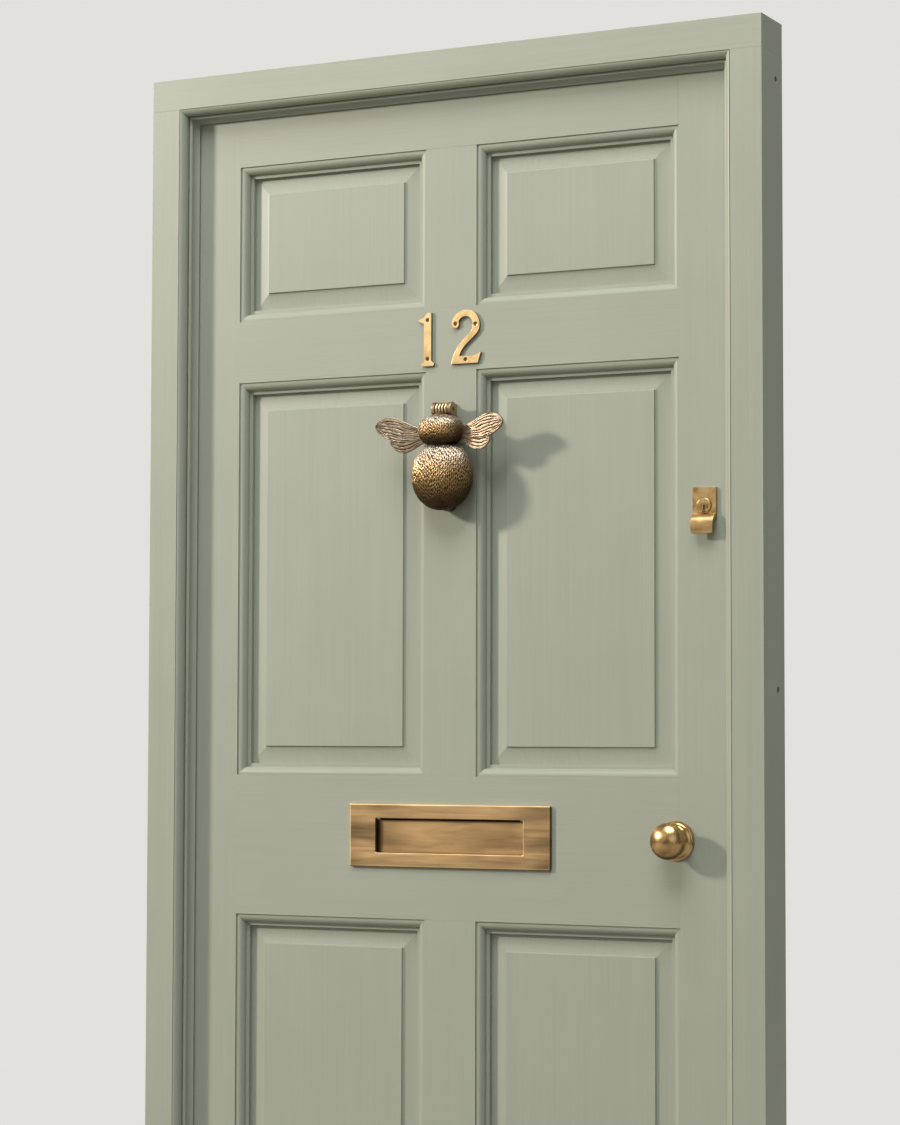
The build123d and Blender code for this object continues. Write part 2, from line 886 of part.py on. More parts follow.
def numeral_one():
    """Straight stem with a flag at the top and a flared foot."""
    stem_left = -39.8
    stem_right = -28.4
    height = 73.8
    edges = [
        Line((stem_right, height), (-34.4, height - 0.2)),
        ThreePointArc((-34.4, height - 0.2), (-37.4, 70.8), (stem_left, 67.4)),
        Line((stem_left, 67.4), (-46.9, 64.9)),
        ThreePointArc((-46.9, 64.9), (-48.0, 63.6), (-46.9, 62.2)),
        Line((-46.9, 62.2), (stem_left, 59.2)),
        Line((stem_left, 59.2), (stem_left, 8.4)),
        ThreePointArc((stem_left, 8.4), (-41.0, 5.8), (-43.4, 4.4)),
        ThreePointArc((-43.4, 4.4), (-43.8, 2.0), (-42.0, 0)),
        Line((-42.0, 0), (-26.2, 0)),
        ThreePointArc((-26.2, 0), (-24.4, 2.0), (-24.8, 4.4)),
        ThreePointArc((-24.8, 4.4), (-27.2, 5.8), (stem_right, 8.4)),
        Line((stem_right, 8.4), (stem_right, height)),
    ]
    return cut(numeral_solid(make_face(edges)), numeral_screw_list("one", seat_clearance))


def numeral_two():
    """Round arch with a ball terminal, swept diagonal and a flared foot."""
    arch_z = 53.4
    arch_x = 24.4
    outer = 21.3
    inner = 10.9
    inner_x = 23.8
    ball_x = 8.6
    ball_z = 55.6
    foot_left = (1.4, 1.0)
    crotch = (14.6, 11.4)
    edges = [
        ThreePointArc((arch_x - outer, arch_z + 2), (arch_x, arch_z + outer), (arch_x + outer, arch_z)),
        Spline(
            (arch_x + outer, arch_z), (39.9, 40.4), (25.4, 27.6), crotch,
            tangents=((0, -1), (-0.36, -1)),
        ),
        Line(crotch, (26.8, 11.2)),
        ThreePointArc((26.8, 11.2), (38.2, 12.0), (47.6, 15.6)),
        Line((47.6, 15.6), (43.0, 1.0)),
        Line((43.0, 1.0), foot_left),
        Spline(
            foot_left, (12.6, 24.2), (27.6, 40.2), (inner_x + inner, arch_z + 1),
            tangents=((0.34, 1), (0, 1)),
        ),
        ThreePointArc(
            (inner_x + inner, arch_z + 1), (inner_x, arch_z + 1 + inner + 0.6), (inner_x - inner, arch_z + 2)
        ),
        Line((inner_x - inner, arch_z + 2), (arch_x - outer, arch_z + 2)),
    ]
    ball = Pos(ball_x, ball_z) * Circle(5.7)
    return cut(numeral_solid(make_face(edges) + ball), numeral_screw_list("two", seat_clearance))


# Knocker

def knocker_axis_bar(x0, x1, radius):
    return bar_along_x(x0, x1, -knocker_axis_reach, knocker_z, radius)


def knocker_bracket():
    """Base against the door with two rounded lugs that hold the pin."""
    half = knocker_knuckle_width / 2 + lug_gap
    outer = half + lug_thickness
    foot = knocker_z - bracket_foot_drop
    base = block(-outer, outer, -bracket_thickness, 0, foot, knocker_z + lug_radius)
    base = fillet(base.edges().filter_by(Axis.Y), bracket_corner)
    for side in (-1, 1):
        x0, x1 = sorted((side * half, side * outer))
        lug = block(x0, x1, -knocker_axis_reach, 0, knocker_z - lug_radius, knocker_z + lug_radius)
        base = base + lug + knocker_axis_bar(x0, x1, lug_radius)
    base = base - knocker_axis_bar(-outer, outer, knocker_pin_radius + seat_clearance)
    return base - bracket_bolt(seat_clearance)


def knocker_pin():
    outer = knocker_knuckle_width / 2 + lug_gap + lug_thickness
    return knocker_axis_bar(-outer, outer, knocker_pin_radius)


def bracket_bolt(extra=0.0):
    start = -bracket_bolt_engagement - extra
    return bar_along_y(start, leaf_thickness, 0, knocker_z, bracket_bolt_radius + extra)


def bracket_fixing():
    end = leaf_thickness + bracket_nut_height
    nut = bar_along_y(leaf_thickness, end, 0, knocker_z, bracket_nut_radius)
    nut = fillet(nut.faces().sort_by(Axis.Y)[-1].edges(), bracket_nut_round)
    return bracket_bolt() + nut


def strike_stud(extra=0.0):
    z = knocker_z - strike_drop
    front = strike_gap - bee_back
    head = bar_along_y(front, 0, 0, z, strike_radius)
    head = fillet(head.faces().sort_by(Axis.Y)[0].edges(), strike_round)
    return head + bar_along_y(-1, strike_screw_length, 0, z, strike_screw_radius + extra)


def ellipsoid(half, y, z):
    return Pos(0, y, z) * scale(Sphere(1.0), by=half)


def ribbed_knuckle():
    """The barrel between the lugs, turned with round ribs."""
    half = knocker_knuckle_width / 2
    pitch = knocker_knuckle_width / rib_count
    valley = lug_radius - rib_depth
    edges = [Line((-half, 0), (-half, valley))]
    for rib in range(rib_count):
        x = -half + rib * pitch
        edges.append(ThreePointArc((x, valley), (x + pitch / 2, lug_radius), (x + pitch, valley)))
    edges.append(Line((half, valley), (half, 0)))
    edges.append(Line((half, 0), (-half, 0)))
    barrel = revolve(make_face(edges), Axis.X)
    return Pos(0, -knocker_axis_reach, knocker_z) * barrel


def wing_plane(z):
    sweep = radians(wing_sweep)
    along = (cos(sweep), -sin(sweep), 0)
    outward = (-sin(sweep), -cos(sweep), 0)
    return Plane(origin=(0, -wing_root_reach, z), x_dir=along, z_dir=outward)


def wing_solid(reach, high, low, points, thickness):
    """A wing whose outline is given in shares of its reach and of its rise or fall."""
    plane = wing_plane(knocker_z - thorax_drop)
    placed = [(x * reach, z * (high if z > 0 else low)) for x, z in points]
    start = (wing_root, placed[0][1])
    end = (wing_root, placed[-1][1])
    outline = Spline(start, *placed[1:-1], end)
    face = make_face([outline, Line(end, start)])
    return extrude(plane * face, thickness, dir=plane.z_dir)


def bee_wing():
    """Forewing and hindwing of the right side, rooted in the thorax."""
    fore_points = [(0, 0.0), (0.58, 0.72), (0.86, 1.0), (1.0, 0.47), (0.8, -0.34), (0, -0.21)]
    hind_points = [(0, -0.14), (0.96, -0.21), (1.0, -0.52), (0.91, -0.85), (0.73, -1.0), (0.55, -0.82), (0, -0.42)]
    fore = wing_solid(forewing_reach, wing_rise, wing_fall, fore_points, forewing_thickness)
    hind = wing_solid(hindwing_reach, wing_rise, wing_fall, hind_points, hindwing_thickness)
    return fore + hind


def knocker_bee():
    """One hollow-backed casting that swings on the pin and strikes the stud."""
    thorax_z = knocker_z - thorax_drop
    abdomen_z = knocker_z - abdomen_drop
    inner_half = tuple(size - bee_wall for size in abdomen_half)
    body = ellipsoid(abdomen_half, -abdomen_reach, abdomen_z) - ellipsoid(inner_half, -abdomen_reach, abdomen_z)
    body = body + ellipsoid(thorax_half, -thorax_reach, thorax_z)
    back = block(-80, 80, -bee_back, 60, abdomen_z - 80, knocker_z + 40)
    body = body - back
    wing = bee_wing()
    body = body + wing + left_copy(wing)
    half = knocker_knuckle_width / 2
    neck_foot = thorax_z + thorax_half[2] / 2
    neck = block(
        -half, half, -knocker_axis_reach - neck_front, neck_back - knocker_axis_reach, neck_foot, knocker_z
    )
    body = body + neck
    outer = half + lug_gap + lug_thickness + lug_swing_gap
    for side in (-1, 1):
        x0, x1 = sorted((side * half, side * outer))
        body = body - knocker_axis_bar(x0, x1, lug_radius + lug_swing_gap)
    body = body + ribbed_knuckle()
    return body - knocker_axis_bar(-half, half, knocker_pin_radius + pin_running_clearance)


# Cylinder pull, rim cylinder and night latch

def pull_side_cut(side, turn, foot):
    """The wedge that narrows one side of the lip towards its foot."""
    edge = side * (pull_width / 2)
    plane = Plane(origin=(rim_x, 0, 0), x_dir=(1, 0, 0), z_dir=(0, -1, 0))
    outline = Polyline((edge, turn), (edge, foot), (edge - side * pull_taper, foot), close=True)
    return extrude(plane * make_face(outline), 2 * pull_reach, both=True)


def cylinder_pull():
    """Flat plate whose foot rolls out into a tapered lip for the fingers."""
    top = rim_z + pull_above
    turn = rim_z - pull_flat_below
    foot = top - pull_height
    front = -pull_thickness
    crown = (-pull_reach, turn - pull_nose_drop)
    tip = (pull_lean - pull_reach, foot)
    inner_tip = (pull_lean - pull_reach + pull_lip, foot)
    inner_crown = (pull_lip - pull_reach, turn - pull_nose_drop)
    root = (0, turn - pull_root_drop)
    edges = [
        Line((0, top), (front, top)),
        Line((front, top), (front, turn)),
        SagittaArc((front, turn), crown, -pull_roll),
        SagittaArc(crown, tip, -pull_curl),
        Line(tip, inner_tip),
        SagittaArc(inner_tip, inner_crown, pull_curl),
        SagittaArc(inner_crown, root, pull_inner_roll),
        Line(root, (0, top)),
    ]
    plane = Plane(origin=(rim_x - pull_width / 2, 0, 0), x_dir=(0, 1, 0), z_dir=(1, 0, 0))
    body = extrude(plane * make_face(edges), pull_width)
    body = fillet(body.edges().filter_by(Axis.Y).sort_by(Axis.Z)[-2:], pull_corner)
    for side in (-1, 1):
        body = body - pull_side_cut(side, turn, foot)
    hole = bar_along_y(-pull_thickness, 0, rim_x, rim_z, rim_head_radius + rim_hole_clearance)
    return body - hole


def plug_bar(y0, y1, radius):
    return bar_along_y(y0, y1, rim_x, plug_z, radius)


def rim_cylinder():
    front = -pull_thickness - rim_head_proud
    head_part = bar_along_y(front, 0, rim_x, rim_z, rim_head_radius)
    head_part = chamfer(head_part.faces().sort_by(Axis.Y)[0].edges(), rim_head_arris)
    body = head_part + bar_along_y(0, rim_body_length, rim_x, rim_z, rim_body_radius)
    return body - plug_bar(front, rim_body_length, plug_radius + plug_clearance)


def cylinder_plug():
    """The plug that the key turns, with its flat tail bar through the leaf."""
    front = -pull_thickness - rim_head_proud + plug_sink
    body = plug_bar(front, rim_body_length, plug_radius)
    keyway = block(
        rim_x - keyway_width / 2,
        rim_x + keyway_width / 2,
        front,
        front + keyway_depth,
        plug_z - keyway_height / 2,
        plug_z + keyway_height / 2,
    )
    tail = block(
        rim_x - tail_thickness / 2,
        rim_x + tail_thickness / 2,
        rim_body_length,
        leaf_thickness + tail_inside,
        plug_z - tail_width / 2,
        plug_z + tail_width / 2,
    )
    return body - keyway + tail


night_case_right = half_leaf - night_case_setback
night_case_left = night_case_right - night_case_length
night_front = leaf_thickness + night_case_depth
night_wall_y = night_front - night_case_wall
night_bolt_y = leaf_thickness + night_case_wall + night_bolt_play + night_bolt_thickness / 2


def night_bolt_box(x0, x1, play):
    """The space of the night latch bolt, or the bolt itself when there is no play."""
    half_y = night_bolt_thickness / 2 + play
    half_z = night_bolt_height / 2 + play
    return block(x0, x1, night_bolt_y - half_y, night_bolt_y + half_y, plug_z - half_z, plug_z + half_z)


def snib_box(x0, x1, y0, y1, half_width):
    z = plug_z - snib_drop
    return block(x0, x1, y0, y1, z - half_width, z + half_width)


def night_latch_case():
    body = block(
        night_case_left,
        night_case_right,
        leaf_thickness,
        night_front,
        plug_z - night_case_height / 2,
        plug_z + night_case_height / 2,
    )
    body = fillet(body.faces().sort_by(Axis.Y)[-1].edges(), night_case_round)
    body = body - plug_bar(leaf_thickness, night_wall_y, night_hub_radius)
    body = body - plug_bar(night_wall_y, night_front, night_shaft_radius + plug_clearance)
    body = body - night_bolt_box(rim_x, night_case_right, night_bolt_play)
    start = night_case_left + snib_inset
    slot_end = start + snib_length + snib_travel
    half_slot = snib_width / 2 + snib_play
    body = body - snib_box(start - snib_play, slot_end + snib_play, night_wall_y, night_front, half_slot)
    side_room = snib_shoulder + snib_play
    room_start = night_wall_y - snib_foot - 2 * snib_play
    body = body - snib_box(
        start - side_room, slot_end + side_room, room_start, night_wall_y, snib_width / 2 + side_room
    )
    return cut(body, night_screws(seat_clearance))


def night_screws(extra=0.0):
    """Two fixing screws through the night latch case into the stile."""
    screws = []
    for side in (-1, 1):
        x = (night_case_left + night_case_right) / 2 + side * (night_case_length / 2 - night_screw_inset)
        z = plug_z + night_case_height / 2 - night_screw_drop
        screws.append(
            countersunk(
                (x, night_front, z),
                (0, -1, 0),
                night_case_depth + night_screw_grip,
                night_screw_radius,
                night_screw_head,
                extra,
            )
        )
    return screws


def night_latch_bolt():
    end = night_case_right - night_bolt_play
    body = night_bolt_box(end - night_bolt_reach, end, 0)
    bevel = body.edges().filter_by(Axis.Z).sort_by(Axis.X)[-2:].sort_by(Axis.Y)[0]
    return chamfer(bevel, night_bolt_thickness * latch_bevel_share)


def night_latch_knob():
    """Turning knob with a thumb bar, its shaft and the hub inside the case."""
    start = night_front + night_hub_end_gap
    body = plug_bar(start, start + night_knob_base, night_knob_radius)
    body = fillet(body.faces().sort_by(Axis.Y)[-1].edges(), night_knob_edge)
    thumb = block(
        rim_x - night_thumb_length / 2,
        rim_x + night_thumb_length / 2,
        start,
        start + night_knob_height,
        plug_z - night_thumb_width / 2,
        plug_z + night_thumb_width / 2,
    )
    thumb = fillet(thumb.edges().filter_by(Axis.Z).sort_by(Axis.Y)[-2:], night_thumb_round)
    hub_end = night_wall_y - night_hub_end_gap
    shaft = plug_bar(hub_end, start, night_shaft_radius)
    hub = plug_bar(leaf_thickness + tail_inside + night_tail_gap, hub_end, night_hub_inner_radius)
    return body + thumb + shaft + hub


def night_latch_snib():
    start = night_case_left + snib_inset
    end = start + snib_length
    foot_front = night_wall_y - snib_play
    button = snib_box(start, end, foot_front, night_front + snib_proud, snib_width / 2)
    button = fillet(button.faces().sort_by(Axis.Y)[-1].edges(), snib_round)
    foot = snib_box(
        start - snib_shoulder,
        end + snib_shoulder,
        foot_front - snib_foot,
        foot_front,
        snib_width / 2 + snib_shoulder,
    )
    return button + foot


def latch_staple():
    """The box on the frame that takes the night latch bolt."""
    x0 = night_case_right + staple_gap
    x1 = x0 + staple_length
    half = staple_height / 2
    outer = half + staple_flange
    back = frame_back_y
    flange = block(x0, x1, back, back + staple_wall, plug_z - outer, plug_z + outer)
    front = night_front + staple_rise
    box = block(x0, x1, back, front, plug_z - half, plug_z + half)
    box = fillet(box.edges().filter_by(Axis.Z).sort_by(Axis.Y)[-2:], staple_corner)
    hollow = block(
        x0,
        x1 - staple_wall,
        back + staple_wall,
        front - staple_wall,
        plug_z - half + staple_wall,
        plug_z + half - staple_wall,
    )
    return cut(flange + box - hollow, staple_screws(seat_clearance))


def staple_screws(extra=0.0):
    x = night_case_right + staple_gap + staple_length / 2
    offset = staple_height / 2 + staple_flange / 2
    y = frame_back_y + staple_wall
    return [small_screw((x, y, plug_z + side * offset), (0, -1, 0), extra) for side in (-1, 1)]


# Mortice latch, strike plate and door knobs

def latch_case():
    """Tube with its forend plate and the flat box that holds the follower."""
    box_end = knob_x + latch_box_length / 2
    tube_end = half_leaf - forend_thickness
    tube = bar_along_x(box_end, tube_end, middle_y, lock_line, latch_tube_radius)
    forend = block(
        tube_end,
        half_leaf,
        middle_y - forend_width / 2,
        middle_y + forend_width / 2,
        lock_line - forend_height / 2,
        lock_line + forend_height / 2,
    )
    box = block(
        knob_x - latch_box_length / 2,
        box_end,
        middle_y - latch_box_thickness / 2,
        middle_y + latch_box_thickness / 2,
        lock_line - latch_box_height / 2,
        lock_line + latch_box_height / 2,
    )
    body = tube + forend + box
    wall = latch_box_wall
    hollow = block(
        knob_x - latch_box_length / 2 + wall,
        box_end,
        middle_y - latch_box_thickness / 2 + wall,
        middle_y + latch_box_thickness / 2 - wall,
        lock_line - latch_box_height / 2 + wall,
        lock_line + latch_box_height / 2 - wall,
    )
    body = body - hollow
    body = body - bar_along_x(box_end, tube_end, middle_y, lock_line, latch_tube_bore)
    body = body - latch_bolt_nose(tube_end, half_leaf, latch_bolt_play)
    through = latch_box_thickness / 2
    hole_radius = spindle_size / 2**0.5 + spindle_room
    hole = bar_along_y(middle_y - through, middle_y + through, knob_x, lock_line, hole_radius)
    return cut(body - hole, forend_screws(seat_clearance))


def forend_screws(extra=0.0):
    offset = forend_height / 2 - forend_screw_inset
    return [
        small_screw((half_leaf, middle_y, lock_line + side * offset), (-1, 0, 0), extra) for side in (-1, 1)
    ]


def latch_bolt_nose(x0, x1, play):
    half_y = latch_bolt_thickness / 2 + play
    half_z = latch_bolt_height / 2 + play
    return block(x0, x1, middle_y - half_y, middle_y + half_y, lock_line - half_z, lock_line + half_z)


def latch_bolt():
    end = half_leaf - latch_bolt_play
    nose = latch_bolt_nose(end - latch_bolt_length, end, 0)
    bevel = nose.edges().filter_by(Axis.Z).sort_by(Axis.X)[-2:].sort_by(Axis.Y)[0]
    nose = chamfer(bevel, latch_bolt_thickness * latch_bevel_share)
    tail = block(
        knob_x + follower_radius + latch_tail_gap,
        end - latch_bolt_length,
        middle_y - latch_tail_thickness / 2,
        middle_y + latch_tail_thickness / 2,
        lock_line - latch_tail_height / 2,
        lock_line + latch_tail_height / 2,
    )
    return nose + tail


def latch_bores():
    """What the mortice latch and the spindle need cut out of the leaf."""
    radius = latch_tube_radius + latch_bore_clearance
    depth = knob_x - latch_box_length / 2 - latch_end_room
    return [
        bar_along_x(depth, half_leaf, middle_y, lock_line, radius),
        block(
            half_leaf - forend_thickness,
            half_leaf,
            middle_y - forend_width / 2,
            middle_y + forend_width / 2,
            lock_line - forend_height / 2,
            lock_line + forend_height / 2,
        ),
        bar_along_y(0, leaf_thickness, knob_x, lock_line, spindle_hole_radius),
    ]


def square_bar(y0, y1, size):
    half = size / 2
    return block(knob_x - half, knob_x + half, y0, y1, lock_line - half, lock_line + half)


def knob_spindle():
    return square_bar(-spindle_reach, leaf_thickness + spindle_reach, spindle_size)


def latch_follower():
    half = latch_box_thickness / 2 - latch_box_wall - follower_play
    body = bar_along_y(middle_y - half, middle_y + half, knob_x, lock_line, follower_radius)
    return body - square_bar(middle_y - half, middle_y + half, spindle_size + 2 * seat_clearance)


def turned(edges):
    """Turn a profile about the knobs' axis; the profile is drawn as (radius, distance out)."""
    plane = Plane(origin=(knob_x, 0, lock_line), x_dir=(1, 0, 0), z_dir=(0, 0, 1))
    face = plane * make_face(edges)
    return revolve(face, Axis((knob_x, 0, lock_line), (0, 1, 0)))


def rose():
    """Round rose with a stepped and rounded face."""
    bore = knob_neck_radius + knob_neck_gap
    shoulder = rose_radius - rose_step
    step_y = -rose_base - rose_round
    collar = knob_collar_radius + rose_round
    crown = collar + rose_crown_width
    edges = [
        Line((bore, 0), (rose_radius, 0)),
        Line((rose_radius, 0), (rose_radius, -rose_base)),
        SagittaArc((rose_radius, -rose_base), (shoulder, step_y), -rose_round / 2),
        SagittaArc((shoulder, step_y), (crown, rose_round - rose_height), -rose_round / 2),
        Line((crown, rose_round - rose_height), (collar, -rose_height)),
        Line((collar, -rose_height), (bore, -rose_height)),
        Line((bore, -rose_height), (bore, 0)),
    ]
    return turned(edges)


def bun_depth(radius):
    """How far the bun's large round stands from its middle plane at a radius."""
    return (knob_crown_round**2 - radius**2) ** 0.5 - knob_crown_sink


def door_knob():
    """Bun knob, two large rounds joined by a small one, on a neck that turns in the rose."""
    centre = knob_half_depth - knob_reach
    collar_back = -(rose_height + knob_collar_gap)
    collar_front = collar_back - knob_collar_width
    join = knob_collar_radius - knob_collar_bevel
    spread = knob_crown_round / (knob_crown_round - knob_rim_round)
    meet = knob_ring * spread
    meet_depth = bun_depth(meet)
    back_middle = (join + meet) / 2
    edges = [
        Line((0, -neck_sink), (knob_neck_radius, -neck_sink)),
        Line((knob_neck_radius, -neck_sink), (knob_neck_radius, collar_back)),
        Line((knob_neck_radius, collar_back), (knob_collar_radius, collar_back)),
        Line((knob_collar_radius, collar_back), (knob_collar_radius, collar_front)),
        Line((knob_collar_radius, collar_front), (join, centre + bun_depth(join))),
        ThreePointArc(
            (join, centre + bun_depth(join)),
            (back_middle, centre + bun_depth(back_middle)),
            (meet, centre + meet_depth),
        ),
        ThreePointArc((meet, centre + meet_depth), (knob_radius, centre), (meet, centre - meet_depth)),
        ThreePointArc(
            (meet, centre - meet_depth), (meet / 2, centre - bun_depth(meet / 2)), (0, -knob_reach)
        ),
        Line((0, -knob_reach), (0, -neck_sink)),
    ]
    return turned(edges) - square_bar(-spindle_reach - spindle_end_gap, 0, spindle_size + 2 * seat_clearance)


def strike_plate():
    x0 = frame_inner
    half_height = strike_plate_height / 2
    plate = block(
        x0,
        x0 + strike_plate_thickness,
        middle_y - strike_plate_width / 2,
        middle_y + strike_plate_width / 2,
        lock_line - half_height,
        lock_line + half_height,
    )
    plate = fillet(plate.edges().filter_by(Axis.X), strike_plate_corner)
    plate = plate - latch_bolt_nose(x0, x0 + strike_plate_thickness, strike_hole_room)
    return cut(plate, strike_screws(seat_clearance))


def strike_screws(extra=0.0):
    offset = strike_plate_height / 2 - strike_screw_inset
    return [
        small_screw((frame_inner, middle_y, lock_line + side * offset), (1, 0, 0), extra) for side in (-1, 1)
    ]


def strike_cuts():
    """Recess for the strike plate and the pocket behind its hole."""
    x0 = frame_inner
    half_height = strike_plate_height / 2
    recess = block(
        x0,
        x0 + strike_plate_thickness,
        middle_y - strike_plate_width / 2,
        middle_y + strike_plate_width / 2,
        lock_line - half_height,
        lock_line + half_height,
    )
    pocket = latch_bolt_nose(x0, x0 + strike_pocket_depth, strike_hole_room)
    return [fillet(recess.edges().filter_by(Axis.X), strike_plate_corner), pocket]


# Assembly

def frame_parts():
    left = jamb(-1)
    right = jamb(1)
    for centre in hinge_centres:
        left = cut(left - hinge_recess(centre, -1), hinge_screws(centre, -1, seat_clearance))
    right = cut(right, strike_cuts() + strike_screws(seat_clearance) + staple_screws(seat_clearance))
    screws = strike_screws() + staple_screws()
    for centre in hinge_centres:
        screws = screws + hinge_screws(centre, -1)
    return {
        "frame_head": [head()],
        "frame_jamb_left": [left],
        "frame_jamb_right": [right],
        "frame_sill": [sill()],
        "frame_moulding": frame_mouldings(),
        "frame_hinge_leaves": [hinge_leaf(z, -1, frame_knuckles, leaf_knuckles) for z in hinge_centres],
        "hinge_pins": [hinge_pin(z) for z in hinge_centres],
        "strike_plate": [strike_plate()],
        "latch_staple": [latch_staple()],
        "frame_screws": screws,
    }


def leaf_framing():
    hinge_stile = stile(-1)
    for centre in hinge_centres:
        hinge_stile = cut(hinge_stile - hinge_recess(centre, 1), hinge_screws(centre, 1, seat_clearance))
    lock_stile = cut(stile(1), latch_bores() + forend_screws(seat_clearance) + night_screws(seat_clearance))
    lock_stile = lock_stile - bar_along_y(0, leaf_thickness, rim_x, rim_z, rim_bore_radius)
    lock_rail = rail(lock_rail_span, ("middle", "bottom"))
    lock_rail = cut(lock_rail, latch_bores() + letter_stud_holes() + [letter_slot()])
    frieze_rail = rail(frieze_rail_span, ("top", "middle"))
    for name in numeral_screw_places:
        frieze_rail = cut(frieze_rail, numeral_screw_list(name, seat_clearance))
    middle_muntin = cut(muntin("middle"), [bracket_bolt(seat_clearance), strike_stud(seat_clearance)])
    return {
        "hinge_stile": [hinge_stile],
        "lock_stile": [lock_stile],
        "top_rail": [rail(top_rail_span, ("top",))],
        "frieze_rail": [frieze_rail],
        "lock_rail": [lock_rail],
        "bottom_rail": [rail(bottom_rail_span, ("bottom",))],
        "top_muntin": [muntin("top")],
        "middle_muntin": [middle_muntin],
        "bottom_muntin": [muntin("bottom")],
    }


def panel_parts():
    parts = {}
    for row, (z0, z1) in panel_rows.items():
        for column, (x0, x1) in panel_columns.items():
            parts[f"panel_{row}_{column}"] = [panel(x0, x1, z0, z1)]
            parts[f"moulding_{row}_{column}"] = panel_mouldings(x0, x1, z0, z1)
    return parts


def furniture_parts():
    leaf_screws = forend_screws() + night_screws()
    for centre in hinge_centres:
        leaf_screws = leaf_screws + hinge_screws(centre, 1)
    letter_fixings = []
    for side in (-1, 1):
        letter_fixings = letter_fixings + [letter_stud(side), letter_nut(side)]
    return {
        "leaf_hinge_leaves": [hinge_leaf(z, 1, leaf_knuckles, frame_knuckles) for z in hinge_centres],
        "leaf_screws": leaf_screws,
        "letter_plate": [letter_plate()],
        "letter_fixings": letter_fixings,
        "letter_flap_rod": [flap_rod()],
        "letter_flap": [letter_flap()],
        "numeral_one": [numeral_one()],
        "numeral_two": [numeral_two()],
        "numeral_screws": numeral_screw_list("one") + numeral_screw_list("two"),
        "knocker_bracket": [knocker_bracket()],
        "knocker_pin": [knocker_pin()],
        "knocker_fixing": [bracket_fixing()],
        "knocker_strike": [strike_stud()],
        "knocker_bee": [knocker_bee()],
        "cylinder_pull": [cylinder_pull()],
        "rim_cylinder": [rim_cylinder()],
        "cylinder_plug": [cylinder_plug()],
        "night_latch_case": [night_latch_case()],
        "night_latch_bolt": [night_latch_bolt()],
        "night_latch_knob": [night_latch_knob()],
        "night_latch_snib": [night_latch_snib()],
        "mortice_latch_case": [latch_case()],
        "mortice_latch_bolt": [latch_bolt()],
        "latch_follower": [latch_follower()],
        "knob_spindle": [knob_spindle()],
        "outer_rose": [rose()],
        "inner_rose": [inside_copy(rose())],
        "outer_knob": [door_knob()],
        "inner_knob": [inside_copy(door_knob())],
    }


def main():
    os.makedirs("parts", exist_ok=True)
    parts = {}
    parts.update(frame_parts())
    parts.update(leaf_framing())
    parts.update(panel_parts())
    parts.update(furniture_parts())
    for name, shapes in parts.items():
        solids = [solid for shape in shapes for solid in shape.solids()]
        shape = solids[0] if len(solids) == 1 else Compound(children=solids)
        export_step(shape, f"parts/{name}.step")
    print(len(parts), "nodes")


main()
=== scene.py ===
import json
import math

import bmesh
import bpy
import numpy as np
from mathutils import Matrix, Vector, noise


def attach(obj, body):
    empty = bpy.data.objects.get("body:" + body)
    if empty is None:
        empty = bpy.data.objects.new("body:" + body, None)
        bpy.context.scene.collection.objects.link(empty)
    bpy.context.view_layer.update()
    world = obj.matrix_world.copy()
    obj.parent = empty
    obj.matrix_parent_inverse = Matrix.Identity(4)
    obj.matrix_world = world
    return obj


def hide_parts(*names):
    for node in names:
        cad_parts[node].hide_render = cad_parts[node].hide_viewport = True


# Panelled front door in its frame: the finishes, and the fine forms of its furniture.
# The outside face looks towards -Y. Sizes are in millimetres unless they are multiplied by mm.

mm = 0.001
weld = 2e-6          # metres within which corners are joined
leafBack = 44        # the leaf's outside face is at 0, its inside face here
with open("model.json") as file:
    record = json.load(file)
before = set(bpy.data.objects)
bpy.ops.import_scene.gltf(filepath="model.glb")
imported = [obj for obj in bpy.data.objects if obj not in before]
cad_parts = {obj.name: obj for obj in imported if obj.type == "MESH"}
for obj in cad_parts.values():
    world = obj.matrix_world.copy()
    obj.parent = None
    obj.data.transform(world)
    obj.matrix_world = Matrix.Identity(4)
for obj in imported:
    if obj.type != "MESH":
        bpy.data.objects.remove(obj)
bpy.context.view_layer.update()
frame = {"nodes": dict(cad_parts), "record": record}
record = frame["record"]
bodyOf = {node: body for body, nodes in record["behaviour"]["bodies"].items() for node in nodes}
print("frame loaded:", len(bodyOf), "nodes")


# Node helpers for the materials

def tone(red, green, blue):
    # colour as it would be read off a paint card, turned into what the shader wants
    values = []
    for value in (red, green, blue):
        share = value / 255
        values.append(share / 12.92 if share <= 0.04045 else ((share + 0.055) / 1.055) ** 2.4)
    return (*values, 1)


